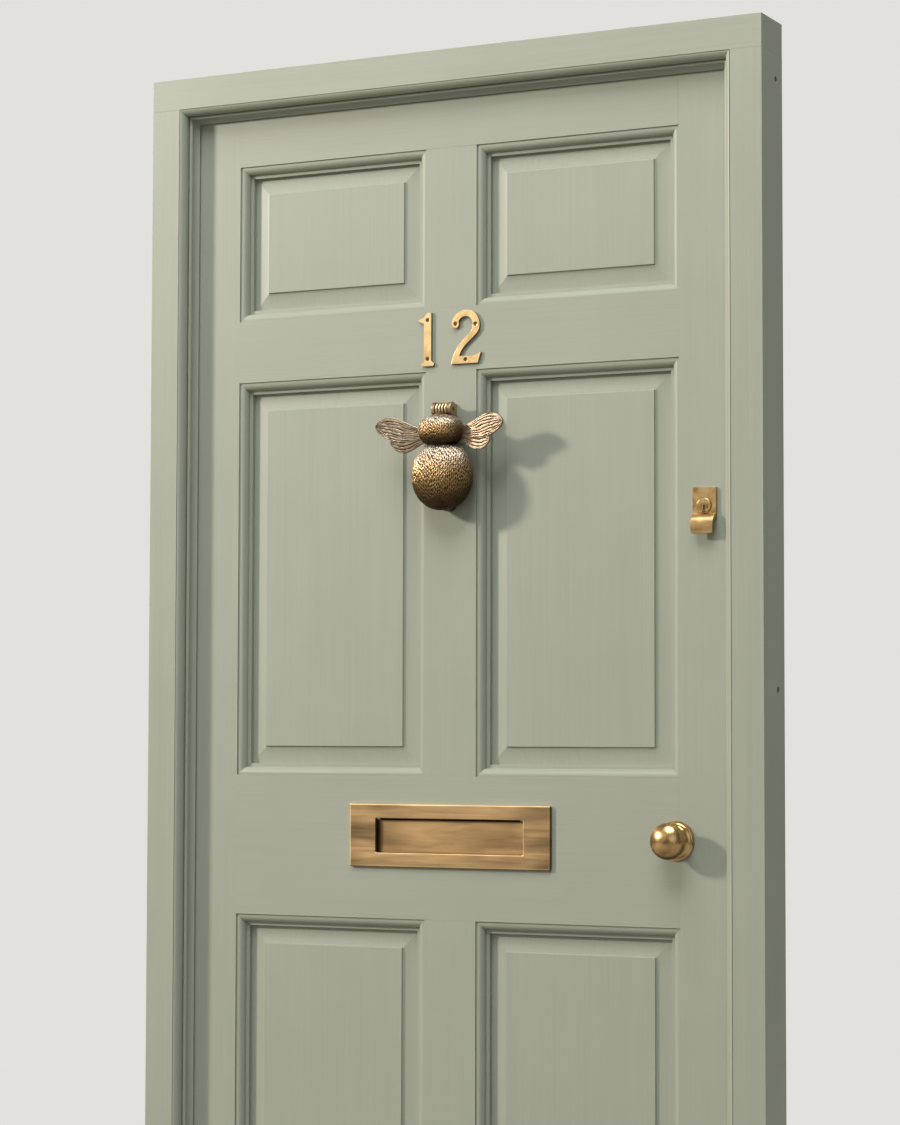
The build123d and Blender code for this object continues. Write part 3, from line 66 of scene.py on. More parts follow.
class NodeSketch:
    # a node tree while it is being put together
    def __init__(self, tree):
        self.nodes, self.links = tree.nodes, tree.links

    def feed(self, value, socket):
        # numbers and colours are written in the socket, everything else is linked to it
        if isinstance(value, (int, float, tuple, list)):
            socket.default_value = value
        else:
            self.links.new(value, socket)

    def axis(self, vector, name):
        node = self.nodes.new("ShaderNodeSeparateXYZ")
        self.links.new(vector, node.inputs["Vector"])
        return node.outputs[name]

    def spread(self, value, low, high, newLow=0.0, newHigh=1.0):
        node = self.nodes.new("ShaderNodeMapRange")
        names = ("Value", "From Min", "From Max", "To Min", "To Max")
        for name, amount in zip(names, (value, low, high, newLow, newHigh)):
            self.feed(amount, node.inputs[name])
        return node.outputs["Result"]

    def reckon(self, operation, first, second):
        node = self.nodes.new("ShaderNodeMath")
        node.operation = operation
        for socket, value in zip(node.inputs, (first, second)):
            self.feed(value, socket)
        return node.outputs["Value"]

    def blend(self, factor, first, second, mode="MIX"):
        node = self.nodes.new("ShaderNodeMix")
        node.data_type = "RGBA"
        node.blend_type = mode
        for name, value in (("Factor", factor), ("A", first), ("B", second)):
            self.feed(value, [s for s in node.inputs if s.name == name and s.enabled][0])
        return [s for s in node.outputs if s.enabled][0]

    def ramp(self, value, stops):
        node = self.nodes.new("ShaderNodeValToRGB")
        self.links.new(value, node.inputs["Fac"])
        elements = node.color_ramp.elements
        while len(elements) < len(stops):
            elements.new(0.5)
        for element, (spot, colour) in zip(elements, stops):
            element.position, element.color = spot, colour
        return node.outputs["Color"]


class Finish(NodeSketch):
    # a material with its shader
    def __init__(self, name, colour, roughness, metallic=0.0):
        self.material = bpy.data.materials.new(name)
        self.material.use_nodes = True
        super().__init__(self.material.node_tree)
        self.shader = self.nodes["Principled BSDF"]
        for socket, value in (("Base Color", colour), ("Roughness", roughness), ("Metallic", metallic)):
            self.shader.inputs[socket].default_value = value
        self.coords = self.nodes.new("ShaderNodeTexCoord").outputs
        self.lastBump = None

    def noise(self, size, detail=3.0, roughness=0.55, distortion=0.0):
        # noise whose grains measure size in millimetres, given once or as (x, y, z)
        widths = size if isinstance(size, tuple) else (size,) * 3
        mapping = self.nodes.new("ShaderNodeMapping")
        mapping.inputs["Scale"].default_value = [1 / (width * mm) for width in widths]
        texture = self.nodes.new("ShaderNodeTexNoise")
        settings = {"Scale": 1.0, "Detail": detail, "Roughness": roughness, "Distortion": distortion}
        for name, value in settings.items():
            texture.inputs[name].default_value = value
        self.links.new(self.coords["Object"], mapping.inputs["Vector"])
        self.links.new(mapping.outputs["Vector"], texture.inputs["Vector"])
        return texture.outputs["Fac"]

    def attribute(self, name):
        node = self.nodes.new("ShaderNodeAttribute")
        node.attribute_name = name
        return node.outputs["Fac"]

    def facing(self, name):
        # how far the surface looks along an axis, from -1 to 1
        return self.axis(self.coords["Normal"], name)

    def spot(self, name):
        # how far along an axis a point lies, in metres
        return self.axis(self.coords["Object"], name)

    def bump(self, height, rise):
        # rise in millimetres for the whole swing of the height
        node = self.nodes.new("ShaderNodeBump")
        node.inputs["Distance"].default_value = rise * mm
        node.inputs["Strength"].default_value = 1.0
        self.links.new(height, node.inputs["Height"])
        if self.lastBump:
            self.links.new(self.lastBump, node.inputs["Normal"])
        self.lastBump = node.outputs["Normal"]

    def done(self, colour, roughness=None):
        self.links.new(colour, self.shader.inputs["Base Color"])
        if roughness is not None:
            self.links.new(roughness, self.shader.inputs["Roughness"])
        if self.lastBump:
            self.links.new(self.lastBump, self.shader.inputs["Normal"])
        return self.material


# Paint: sage oil paint laid off with a brush, upright or level as the timber runs

paint = {
    "pale": tone(155, 159, 143),
    "body": tone(151, 155, 139),
    "deep": tone(147, 151, 135),
    "fineStroke": (0.7, 70),      # across and along the brush
    "broadStroke": (2.6, 260),
    "patch": 130,
    "patchShare": 0.38,
    "fineRise": 0.018,
    "broadRise": 0.014,
    "roughness": (0.38, 0.52),
}


def brushedPaint(name, grain, shade=0.0):
    def stroke(size):
        across, along = size
        return {"x": (along, across, across), "z": (across, across, along)}[grain]

    finish = Finish(name, paint["body"], sum(paint["roughness"]) / 2)
    fine = finish.noise(stroke(paint["fineStroke"]), 2.0)
    broad = finish.noise(stroke(paint["broadStroke"]), 4.0, 0.6)
    patch = finish.noise(paint["patch"], 2.0)
    mix = finish.reckon("MULTIPLY", broad, 1 - paint["patchShare"])
    mix = finish.reckon("ADD", mix, finish.reckon("MULTIPLY", patch, paint["patchShare"]))
    mix = finish.reckon("ADD", mix, shade)
    colour = finish.ramp(mix, ((0.3, paint["deep"]), (0.5, paint["body"]), (0.72, paint["pale"])))
    finish.bump(fine, paint["fineRise"])
    finish.bump(broad, paint["broadRise"])
    rough = finish.spread(broad, 0.3, 0.7, *paint["roughness"])
    return finish.done(colour, rough)


uprightPaint = brushedPaint("sagePaintUpright", "z")
levelPaint = brushedPaint("sagePaintLevel", "x")
sillPaint = brushedPaint("sillPaint", "x", -0.06)


# Metals

def wornMetal(name, look):
    # brushed or burnished metal: grain, soft patches of tarnish, painted shade on the undersides, and hollows
    # darkened with patina and painted shade
    body, pale, deep, dark = (tone(*look[share]) for share in ("body", "pale", "deep", "dark"))
    finish = Finish(name, body, look["roughness"][0], 1.0)
    grain = finish.noise(look["grain"], 3.0, 0.6)
    patch = finish.noise(look["patch"], 3.0, 0.6, 0.4)
    colour = finish.ramp(patch, ((0.32, deep), (0.5, body), (0.7, pale)))
    streak = finish.spread(grain, 0.3, 0.7, 0.88, 1.06)
    colour = finish.blend(1.0, colour, streak, "MULTIPLY")
    if "underShade" in look:
        # painted shade: darker where the piece looks down
        under = finish.spread(finish.facing("Z"), *look.get("under", (0.35, -0.75)))
        colour = finish.blend(finish.reckon("MULTIPLY", under, look["underShade"]), colour, dark)
    for layer in ("crown", "cap"):
        # painted reflection: a pale cool tone where the piece looks up, standing for the sky it mirrors, and a
        # darker tone at the very top
        if layer in look:
            reflectedTone, low, high, share = look[layer]
            up = finish.spread(finish.facing("Z"), low, high)
            colour = finish.blend(finish.reckon("MULTIPLY", up, share), colour, tone(*reflectedTone))
    if "ends" in look:
        # tarnish gathered towards both ends of a long piece, in level clouds
        near, far, share = look["ends"]
        out = finish.reckon("ABSOLUTE", finish.spot("X"), 0)
        out = finish.spread(out, near * mm, far * mm, 0.35, 1.0)
        cloud = finish.spread(finish.noise((70, 30, 30), 1.0, 0.4), 0.4, 0.68)
        out = finish.reckon("MULTIPLY", finish.reckon("MULTIPLY", out, cloud), share)
        colour = finish.blend(out, colour, dark)
    if "sides" in look:
        # painted shade: the sides are darker than the face
        front = finish.reckon("ABSOLUTE", finish.facing("Y"), 0)
        colour = finish.blend(finish.spread(front, 0.72, 0.3, 0.0, look["sides"]), colour, dark)
    if "recess" in look:
        # painted shadow along the left side and under the top of a sunk face, as the edges above and to the
        # left would cast it
        recess = look["recess"]
        beside = finish.spread(finish.spot("X"), *((recess["left"] + edge) * mm for edge in recess["beside"]))
        under = finish.spread(finish.spot("Z"), *((recess["top"] - edge) * mm for edge in recess["under"]))
        castShadow = finish.reckon("MULTIPLY", finish.reckon("MAXIMUM", beside, under), recess["share"])
        colour = finish.blend(castShadow, colour, dark)
    if "relief" in look:
        # darker in whatever the casting's relief leaves low: patina in the hollows, and painted shade for the
        # shadow in them
        low = finish.spread(finish.attribute("relief"), 0.85, 0.25)
        colour = finish.blend(finish.reckon("MULTIPLY", low, look["relief"]), colour, dark)
    if "wornHighlight" in look:
        # painted highlight on worn arrises where they face up or left, towards the key lamp, and painted shade
        # on faces that look right or down
        lit = finish.reckon("SUBTRACT", finish.facing("Z"), finish.facing("X"))
        bright = finish.reckon("MULTIPLY", finish.attribute("wornHighlight"), finish.spread(lit, -0.15, 0.4))
        colour = finish.blend(bright, colour, tone(*look["wornHighlight"]))
        colour = finish.blend(finish.spread(lit, -0.25, -0.7, 0.0, 0.85), colour, dark)
    finish.bump(grain, look["grainRise"])
    return finish.done(colour, finish.spread(patch, 0.35, 0.65, *look["roughness"]))


letterPlateBrass = wornMetal("letterPlateBrass", {
    "body": (206, 171, 123), "pale": (214, 180, 132), "deep": (190, 156, 111),
    "dark": (98, 80, 58), "grain": (90, 0.5, 0.35), "grainRise": 0.014, "patch": (90, 40, 5),
    "roughness": (0.32, 0.4), "underShade": 0.4, "ends": (10, 150, 0.8), "wornHighlight": (250, 218, 166),
})
letterFlapBrass = wornMetal("letterFlapBrass", {
    "body": (186, 153, 108), "pale": (200, 166, 118), "deep": (164, 132, 92),
    "dark": (72, 57, 39), "grain": (90, 0.5, 0.35), "grainRise": 0.012, "patch": (120, 40, 14),
    "roughness": (0.36, 0.43), "underShade": 0.3, "ends": (20, 110, 0.5),
    "recess": {"left": -112.5, "top": 1027.5, "beside": (9.5, 3.5), "under": (6.2, 2.6), "share": 0.88},
})
numeralBrass = wornMetal("numeralBrass", {
    "body": (240, 208, 152), "pale": (248, 220, 170), "deep": (226, 190, 132),
    "dark": (104, 78, 46), "grain": 1.2, "grainRise": 0.01, "patch": 25,
    "roughness": (0.28, 0.36), "sides": 0.8,
})
darkScrewBrass = wornMetal("darkScrewBrass", {
    "body": (92, 72, 48), "pale": (130, 104, 70), "deep": (60, 46, 32),
    "dark": (30, 24, 18), "grain": 0.6, "grainRise": 0.02, "patch": 4,
    "roughness": (0.36, 0.5), "underShade": 0.2,
})
bracketBrass = wornMetal("bracketBrass", {
    "body": (176, 148, 114), "pale": (206, 182, 150), "deep": (134, 108, 78),
    "dark": (62, 49, 35), "grain": 0.8, "grainRise": 0.015, "patch": 11,
    "roughness": (0.3, 0.4), "underShade": 0.5,
})
knuckleBrass = wornMetal("knuckleBrass", {
    "body": (214, 190, 150), "pale": (230, 212, 182), "deep": (190, 160, 112),
    "dark": (50, 38, 26), "grain": 0.6, "grainRise": 0.01, "patch": 8,
    "roughness": (0.26, 0.36), "underShade": 0.5, "relief": 0.9,
})
beeBronze = wornMetal("beeBronze", {
    "body": (177, 141, 89), "pale": (194, 164, 118), "deep": (150, 114, 64),
    "dark": (44, 34, 23), "grain": (0.5, 0.5, 0.9), "grainRise": 0.015, "patch": 34,
    "roughness": (0.36, 0.44), "underShade": 0.94, "under": (0.12, -0.4), "relief": 0.93,
    "crown": ((218, 204, 187), 0.0, 0.55, 0.82), "cap": ((108, 96, 84), 0.76, 0.99, 0.7),
})
wingBronze = wornMetal("wingBronze", {
    "body": (170, 150, 126), "pale": (186, 168, 146), "deep": (152, 131, 104),
    "dark": (48, 38, 30), "grain": 0.6, "grainRise": 0.012, "patch": 18,
    "roughness": (0.4, 0.48), "underShade": 0.4, "relief": 0.93,
})
knobBrass = wornMetal("knobBrass", {
    "body": (186, 152, 102), "pale": (204, 172, 122), "deep": (158, 124, 78),
    "dark": (58, 43, 28), "grain": 2.0, "grainRise": 0.006, "patch": 18,
    "roughness": (0.2, 0.3), "underShade": 0.8, "under": (0.25, -0.8),
})
pullBrass = wornMetal("pullBrass", {
    "body": (202, 166, 112), "pale": (222, 190, 138), "deep": (176, 140, 90),
    "dark": (84, 64, 40), "grain": (0.5, 0.5, 30), "grainRise": 0.012, "patch": 20,
    "roughness": (0.26, 0.36), "underShade": 0.55,
})
cylinderBrass = wornMetal("cylinderBrass", {
    "body": (210, 178, 124), "pale": (226, 198, 148), "deep": (186, 152, 100),
    "dark": (90, 70, 44), "grain": 0.6, "grainRise": 0.01, "patch": 12,
    "roughness": (0.24, 0.32), "underShade": 0.3,
})
plugBrass = wornMetal("plugBrass", {
    "body": (168, 138, 94), "pale": (188, 158, 112), "deep": (140, 112, 72),
    "dark": (70, 54, 34), "grain": 0.5, "grainRise": 0.01, "patch": 5,
    "roughness": (0.26, 0.36), "underShade": 0.2,
})
latchBrass = wornMetal("latchBrass", {
    "body": (206, 170, 112), "pale": (222, 190, 136), "deep": (182, 146, 92),
    "dark": (96, 74, 44), "grain": (0.6, 0.6, 14), "grainRise": 0.012, "patch": 18,
    "roughness": (0.26, 0.38), "underShade": 0.2,
})
hingeSteel = wornMetal("hingeSteel", {
    "body": (188, 186, 180), "pale": (206, 204, 198), "deep": (160, 158, 152),
    "dark": (90, 88, 84), "grain": (0.5, 0.5, 16), "grainRise": 0.012, "patch": 22,
    "roughness": (0.3, 0.42), "underShade": 0.1,
})
screwSteel = wornMetal("screwSteel", {
    "body": (180, 179, 175), "pale": (200, 199, 195), "deep": (150, 149, 145),
    "dark": (70, 69, 66), "grain": 0.5, "grainRise": 0.012, "patch": 6,
    "roughness": (0.28, 0.4), "underShade": 0.1,
})
latchSteel = wornMetal("latchSteel", {
    "body": (172, 172, 170), "pale": (190, 190, 188), "deep": (148, 148, 146),
    "dark": (80, 80, 78), "grain": (8, 0.5, 0.5), "grainRise": 0.012, "patch": 18,
    "roughness": (0.34, 0.46), "underShade": 0.1,
})


def enamel(name, body, deep):
    finish = Finish(name, body, 0.32)
    peel = finish.noise(1.6, 2.0)
    patch = finish.noise(30, 2.0)
    finish.bump(peel, 0.03)
    colour = finish.ramp(patch, ((0.35, deep), (0.65, body)))
    return finish.done(colour, finish.spread(peel, 0.3, 0.7, 0.26, 0.36))


latchEnamel = enamel("latchEnamel", tone(92, 88, 82), tone(78, 74, 69))
print("finishes mixed:", len(bpy.data.materials))


# Making and settling pieces

def place(x, y, z):
    return Vector((x, y, z)) * mm


def newPiece(name, mesh, materials):
    for material in materials:
        mesh.materials.append(material)
    piece = bpy.data.objects.new(name, mesh)
    bpy.context.scene.collection.objects.link(piece)
    return piece


def wrap(rings, count, closed=False):
    # faces between rings of corners, each ring closed on itself
    faces = []
    for ring in range(rings if closed else rings - 1):
        base, following = ring * count, (ring + 1) % rings * count
        for step in range(count):
            after = (step + 1) % count
            faces.append((base + step, base + after, following + after, following + step))
    return faces


def join(corners, faces, ownCorners, ownFaces):
    # one more closed form beside those that are there
    base = len(corners)
    corners += ownCorners
    faces += [tuple(base + i for i in face) for face in ownFaces]


def meshFrom(name, corners, faces, wornHighlight=()):
    # the last argument says how bright the first corners are painted: edge wear shown as a painted highlight
    mesh = bpy.data.meshes.new(name)
    mesh.from_pydata([Vector(corner) * mm for corner in corners], [], faces)
    if wornHighlight:
        layer = mesh.attributes.new("wornHighlight", "FLOAT", "POINT")
        layer.data.foreach_set("value", wornHighlight + [0.0] * (len(corners) - len(wornHighlight)))
    tidy(mesh, 0)
    return mesh


def tidy(mesh, flatAngle=0.6, welded=True):
    # weld, melt the triangles of flat faces together and turn all faces outwards
    shape = bmesh.new()
    shape.from_mesh(mesh)
    if welded:
        bmesh.ops.remove_doubles(shape, verts=shape.verts, dist=weld)
    if flatAngle:
        bmesh.ops.dissolve_limit(
            shape, angle_limit=math.radians(flatAngle), verts=shape.verts, edges=shape.edges
        )
    bmesh.ops.recalc_face_normals(shape, faces=shape.faces)
    shape.to_mesh(mesh)
    shape.free()
    mesh.update()


def flatNormals(piece, keepSharp):
    # smooth over the rounds and flat on the flats, with all that was put on the piece baked in
    weights = piece.modifiers.new("flats", "WEIGHTED_NORMAL")
    weights.keep_sharp = keepSharp
    weights.weight = 90
    graph = bpy.context.evaluated_depsgraph_get()
    mesh = bpy.data.meshes.new_from_object(piece.evaluated_get(graph))
    piece.modifiers.clear()
    piece.data = mesh


def easeEdges(piece, width, segments=2, angle=32):
    # true rounded arrises with the flats left flat, or without a width the sharp edges kept
    piece.data.shade_smooth()
    if width:
        bevel = piece.modifiers.new("arris", "BEVEL")
        bevel.width = width * mm
        bevel.segments = segments
        bevel.limit_method = "ANGLE"
        bevel.angle_limit = math.radians(angle)
        bevel.miter_outer = "MITER_ARC"
        flatNormals(piece, False)
    else:
        piece.data.set_sharp_from_angle(angle=math.radians(angle))


def settle(piece, node):
    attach(piece, bodyOf[node])
    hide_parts(node)


def ownMesh(node):
    mesh = frame["nodes"][node].data.copy()
    mesh.materials.clear()
    return mesh


def eased(node, suffix, mesh, materials, width, segments=2, angle=32):
    piece = newPiece(f"{node}_{suffix}", mesh, materials)
    easeEdges(piece, width, segments, angle)
    settle(piece, node)


def dress(node, material, width, segments=2, angle=32):
    # the node's own form with eased edges
    mesh = ownMesh(node)
    tidy(mesh)
    eased(node, "finished", mesh, [material], width, segments, angle)


# Timber: each length with the soft arris that paint leaves

timber = {"arris": 0.35, "sillArris": 1.2, "panelArris": 0.3, "mouldingArris": 0.22}
for node in ("hinge_stile", "lock_stile", "top_muntin", "middle_muntin", "bottom_muntin",
             "frame_jamb_left", "frame_jamb_right"):
    dress(node, uprightPaint, timber["arris"])
for node in ("top_rail", "frieze_rail", "lock_rail", "bottom_rail", "frame_head"):
    dress(node, levelPaint, timber["arris"])
dress("frame_sill", sillPaint, timber["sillArris"], segments=3)
print("timber eased")


# Panels: tongue, sloping margin, step and field

panels = [(row, column) for row in ("top", "middle", "bottom") for column in ("left", "right")]
for row, column in panels:
    dress(f"panel_{row}_{column}", uprightPaint, timber["panelArris"], angle=12)
print("panels fielded")


# Mouldings: one section run round each opening and mitred

def arcThrough(start, end, bulge, count):
    # points of the arc from start to end that stands bulge proud to the left of its chord
    start, end = Vector(start), Vector(end)
    chord = end - start
    side = Vector((-chord.y, chord.x)).normalized()
    half = chord.length / 2
    radius = (half ** 2 + bulge ** 2) / (2 * abs(bulge))
    sign = 1 if bulge > 0 else -1
    centre = (start + end) / 2 + side * sign * (abs(bulge) - radius)
    first = math.atan2(start.y - centre.y, start.x - centre.x)
    last = math.atan2(end.y - centre.y, end.x - centre.x)
    sweep = (last - first + math.pi) % (2 * math.pi) - math.pi
    return [
        (centre.x + radius * math.cos(first + sweep * step / count),
         centre.y + radius * math.sin(first + sweep * step / count))
        for step in range(1, count)
    ]


panelMoulding = {
    "front": 1.9, "foot": 10.4, "back": 18.0, "step": 0.8,    # depths from the leaf's face
    "fillet": 1.0, "ovolo": 11.0, "lap": 16.0,                # distances from the opening's edge
    "bow": -3.0,
}
frameMoulding = {
    # points are (across from the jamb's face, out in front of the leaf)
    "root": 2.0, "edge": (1.0, 28.5), "ovolo": ((1.6, 30.0), (7.8, 15.0), 3.6),
    "bead": (10.55, 14.1), "beadRadius": 2.75, "cove": ((13.3, 14.1), (18.5, 3.6), -1.6),
    "side": 422, "foot": 45, "head": 2034,      # where the jambs' faces stand, and their two ends
}


def panelSection():
    look = panelMoulding
    start, end = (look["fillet"], look["front"]), (look["ovolo"], look["foot"])
    floor = look["foot"] + look["step"]
    return [
        (0, look["back"]), (0, look["front"]), start, *arcThrough(start, end, look["bow"], 14), end,
        (look["ovolo"], floor), (look["lap"], floor), (look["lap"], look["back"]),
    ]


def frameSection():
    look = frameMoulding
    start, end, bow = look["ovolo"]
    coveStart, coveEnd, hollow = look["cove"]
    (edge, lip), root = look["edge"], look["root"]
    (across, out), radius = look["bead"], look["beadRadius"]
    turns = np.linspace(0, math.pi, 12)
    bead = [(across - radius * math.cos(turn), out + radius * math.sin(turn)) for turn in turns]
    return [
        (0, root), (0, lip), (edge, lip), (edge, start[1]), start, *arcThrough(start, end, bow, 16), end,
        *bead, *arcThrough(coveStart, coveEnd, hollow, 10), coveEnd, (coveEnd[0], root),
    ]


def mitredLength(section, corner, run, across, out, length, mitres=(True, True)):
    # section swept from corner along run; across points into the opening, out towards the eye
    corner, run, across, out = (Vector(v) for v in (corner, run, across, out))
    rings = []
    for end, mitre in zip((0, 1), mitres):
        ring = []
        for inward, proud in section:
            shift = inward if mitre else 0
            along = shift if end == 0 else length - shift
            ring.append(corner + run * along + across * inward + out * proud)
        rings.append(ring)
    count = len(section)
    faces = [*wrap(2, count), tuple(range(count - 1, -1, -1)), tuple(range(count, 2 * count))]
    return rings[0] + rings[1], faces


def mouldingPiece(node, section, lengths):
    # lengths as (corner, run, across, out, length) and which ends are mitred
    corners, faces, level = [], [], []
    for length in lengths:
        own, ownFaces = mitredLength(section, *length)
        join(corners, faces, own, ownFaces)
        level += [int(length[1][2] == 0)] * len(ownFaces)
    mesh = bpy.data.meshes.new(node)
    mesh.from_pydata([corner * mm for corner in corners], [], faces)
    mesh.polygons.foreach_set("material_index", level)
    tidy(mesh, 0, welded=False)
    eased(node, "run", mesh, [uprightPaint, levelPaint], timber["mouldingArris"], angle=28)


openings = {
    "left": (-337, -39), "right": (39, 337),
    "top": (1726.5, 1948), "middle": (1085, 1639), "bottom": (280, 890),
}
for row, column in panels:
    (x0, x1), (z0, z1) = openings[column], openings[row]
    lengths = []
    for y, out in ((0, (0, 1, 0)), (leafBack, (0, -1, 0))):
        lengths += [
            ((x0, y, z0), (1, 0, 0), (0, 0, 1), out, x1 - x0),
            ((x0, y, z1), (1, 0, 0), (0, 0, -1), out, x1 - x0),
            ((x0, y, z0), (0, 0, 1), (1, 0, 0), out, z1 - z0),
            ((x1, y, z0), (0, 0, 1), (-1, 0, 0), out, z1 - z0),
        ]
    mouldingPiece(f"moulding_{row}_{column}", panelSection(), lengths)

side, foot, head = (frameMoulding[edge] for edge in ("side", "foot", "head"))
out = (0, -1, 0)
mouldingPiece("frame_moulding", frameSection(), (
    ((-side, 0, foot), (0, 0, 1), (1, 0, 0), out, head - foot, (False, True)),
    ((side, 0, foot), (0, 0, 1), (-1, 0, 0), out, head - foot, (False, True)),
    ((-side, 0, head), (1, 0, 0), (0, 0, -1), out, 2 * side),
))
print("mouldings run")


# Turned pieces

def turned(profile, centre, axis, side, segments=96):
    # profile as (radius, distance along the axis); side is the first spoke
    axis, side = Vector(axis), Vector(side)
    third = axis.cross(side)
    corners = []
    for radius, along in profile:
        for step in range(segments):
            turn = 2 * math.pi * step / segments
            spoke = side * math.cos(turn) + third * math.sin(turn)
            corners.append(Vector(centre) + axis * along + spoke * radius)
    return corners, wrap(len(profile), segments)


knobLook = {
    "radius": 24.0, "rimRound": 12.0, "halfDepth": 16.0, "reach": 44.6, "neck": 11.0,
    "collar": ((0.01, 3), (8.9, 3), (8.9, 9.6), (12.1, 9.6), (12.5, 10.0), (12.5, 12.2), (12.1, 12.8)),
    "axis": 331.6, "height": 1003.6,
}
roseLook = {
    "rim": ((9.2, 0), (25.6, 0), (26, 0.4), (26, 2.6)),
    "rounds": (((26, 2.9), (22, 4.2)), ((21.4, 4.4), (16.7, 7.8))), "bulge": 0.6,
    "crown": ((14.2, 8.8), (13.6, 9.0), (9.6, 9.0), (9.2, 8.6), (9.2, 0)),
}


def knobProfile():
    # from the neck's root out to the crown: a bun of two large rounds joined by a small one
    rim, half = knobLook["rimRound"], knobLook["halfDepth"]
    ring = knobLook["radius"] - rim
    crown = (ring ** 2 + half ** 2 - rim ** 2) / (2 * (half - rim))
    sink = crown - half
    centre = knobLook["reach"] - half
    meetTurn = math.atan2(sink, ring)
    profile = list(knobLook["collar"])
    start, end = math.asin(knobLook["neck"] / crown), math.pi / 2 - meetTurn
    for turn in np.linspace(start, end, 12):
        profile.append((crown * math.sin(turn), centre - (crown * math.cos(turn) - sink)))
    for turn in np.linspace(-meetTurn, meetTurn, 30)[1:-1]:
        profile.append((ring + rim * math.cos(turn), centre + rim * math.sin(turn)))
    for turn in np.linspace(end, 0, 22):
        profile.append((max(crown * math.sin(turn), 0.01), centre + crown * math.cos(turn) - sink))
    return profile


def roseProfile():
    (lowStart, lowEnd), (highStart, highEnd) = roseLook["rounds"]
    return [
        *roseLook["rim"], *arcThrough(lowStart, lowEnd, roseLook["bulge"], 6), lowEnd,
        highStart, *arcThrough(highStart, highEnd, roseLook["bulge"], 8), highEnd, *roseLook["crown"],
    ]


for name, base, direction in (("outer", 0, -1), ("inner", leafBack, 1)):
    for part, profile in (("knob", knobProfile()), ("rose", roseProfile())):
        centre = (knobLook["axis"], base, knobLook["height"])
        node = f"{name}_{part}"
        mesh = meshFrom(node, *turned(profile, centre, (0, direction, 0), (1, 0, 0)))
        eased(node, "turned", mesh, [knobBrass], 0, angle=38)
print("knobs and roses turned")


# Plain metal pieces that keep their form

for material, widths in (
    (letterFlapBrass, {"letter_flap": 0.3}),
    (screwSteel, {"letter_flap_rod": 0.15, "frame_screws": 0.15, "leaf_screws": 0.15}),
    (latchBrass, {
        "letter_fixings": 0.25, "knocker_fixing": 0.2, "night_latch_bolt": 0.3, "night_latch_knob": 0.3,
        "night_latch_snib": 0.2, "mortice_latch_bolt": 0.2, "strike_plate": 0.2,
    }),
    (numeralBrass, {"numeral_one": 0.6, "numeral_two": 0.6}),
    (darkScrewBrass, {"numeral_screws": 0.2, "knocker_strike": 0.3}),
    (cylinderBrass, {"rim_cylinder": 0.2}),
    (plugBrass, {"cylinder_plug": 0.12}),
    (latchEnamel, {"night_latch_case": 0.4, "latch_staple": 0.4}),
    (latchSteel, {"mortice_latch_case": 0.2, "latch_follower": 0.15, "knob_spindle": 0.2}),
    (hingeSteel, {"frame_hinge_leaves": 0.25, "leaf_hinge_leaves": 0.25, "hinge_pins": 0.3}),
):
    for node, width in widths.items():
        dress(node, material, width)

# the pull's lip keeps nearly the plate's width, and its edges are rubbed round
pull = {"axis": 374.0, "half": 16.5, "core": 8.0, "crease": 1429.5, "taperKept": 0.3, "round": 0.9}
mesh = ownMesh("cylinder_pull")
for vert in mesh.vertices:
    aside = vert.co.x / mm - pull["axis"]
    if abs(aside) > pull["core"] and vert.co.z / mm < pull["crease"]:
        kept = pull["half"] - pull["taperKept"] * (pull["half"] - abs(aside))
        vert.co.x = (pull["axis"] + math.copysign(kept, aside)) * mm
tidy(mesh)
eased("cylinder_pull", "finished", mesh, [pullBrass], pull["round"], segments=3)
print("metal furniture eased")


# Forms put together from prisms and boxes

def addPrism(corners, faces, outline, ends):
    # outline of (depth, height) run between two places along X
    count = len(outline)
    join(corners, faces, [(x, depth, height) for x in ends for depth, height in outline],
         [*wrap(2, count), tuple(range(count)), tuple(range(count, 2 * count))])


def addBox(corners, faces, low, high):
    spots = [(x, y, z) for x in (low[0], high[0]) for y in (low[1], high[1]) for z in (low[2], high[2])]
    sides = ((0, 1, 3, 2), (4, 6, 7, 5), (0, 4, 5, 1), (2, 3, 7, 6), (0, 2, 6, 4), (1, 5, 7, 3))
    join(corners, faces, spots, sides)


# Letter plate: a ring with rounded outer and inner edges, and the two ears that carry the rod

plateLook = {
    "half": (152.5, 43.0), "aperture": (112.0, 23.5), "centre": 1003.6, "proud": 5.0,
    "round": 1.6, "corner": 2.0, "innerRound": 1.0, "innerCorner": 1.2,
    "flat": (2.6, 1.9),      # how far in from the outer and the inner edge the face is flat
    "ear": (108.5, 111.5), "rod": (5.0, 1032.3), "earRadius": 4.0,
    "stop": ((106.5, -1.0, 1025.3), (112.2, 1.8, 1027.3)),
    # the next entry gives how bright each arris is painted: wear shown as a painted highlight on the lit side
    "wornHighlight": {"side": 0.3, "edge": 0.9, "inner": 0.7},      # how bright each arris is worn
}


def roundedLoop(halfWidth, halfHeight, corner, depth, count=5):
    points = []
    for quarter, (signX, signZ) in enumerate(((1, 1), (-1, 1), (-1, -1), (1, -1))):
        for step in range(count):
            turn = math.pi / 2 * (quarter + step / (count - 1))
            points.append((
                signX * (halfWidth - corner) + corner * math.cos(turn), depth,
                plateLook["centre"] + signZ * (halfHeight - corner) + corner * math.sin(turn),
            ))
    return points


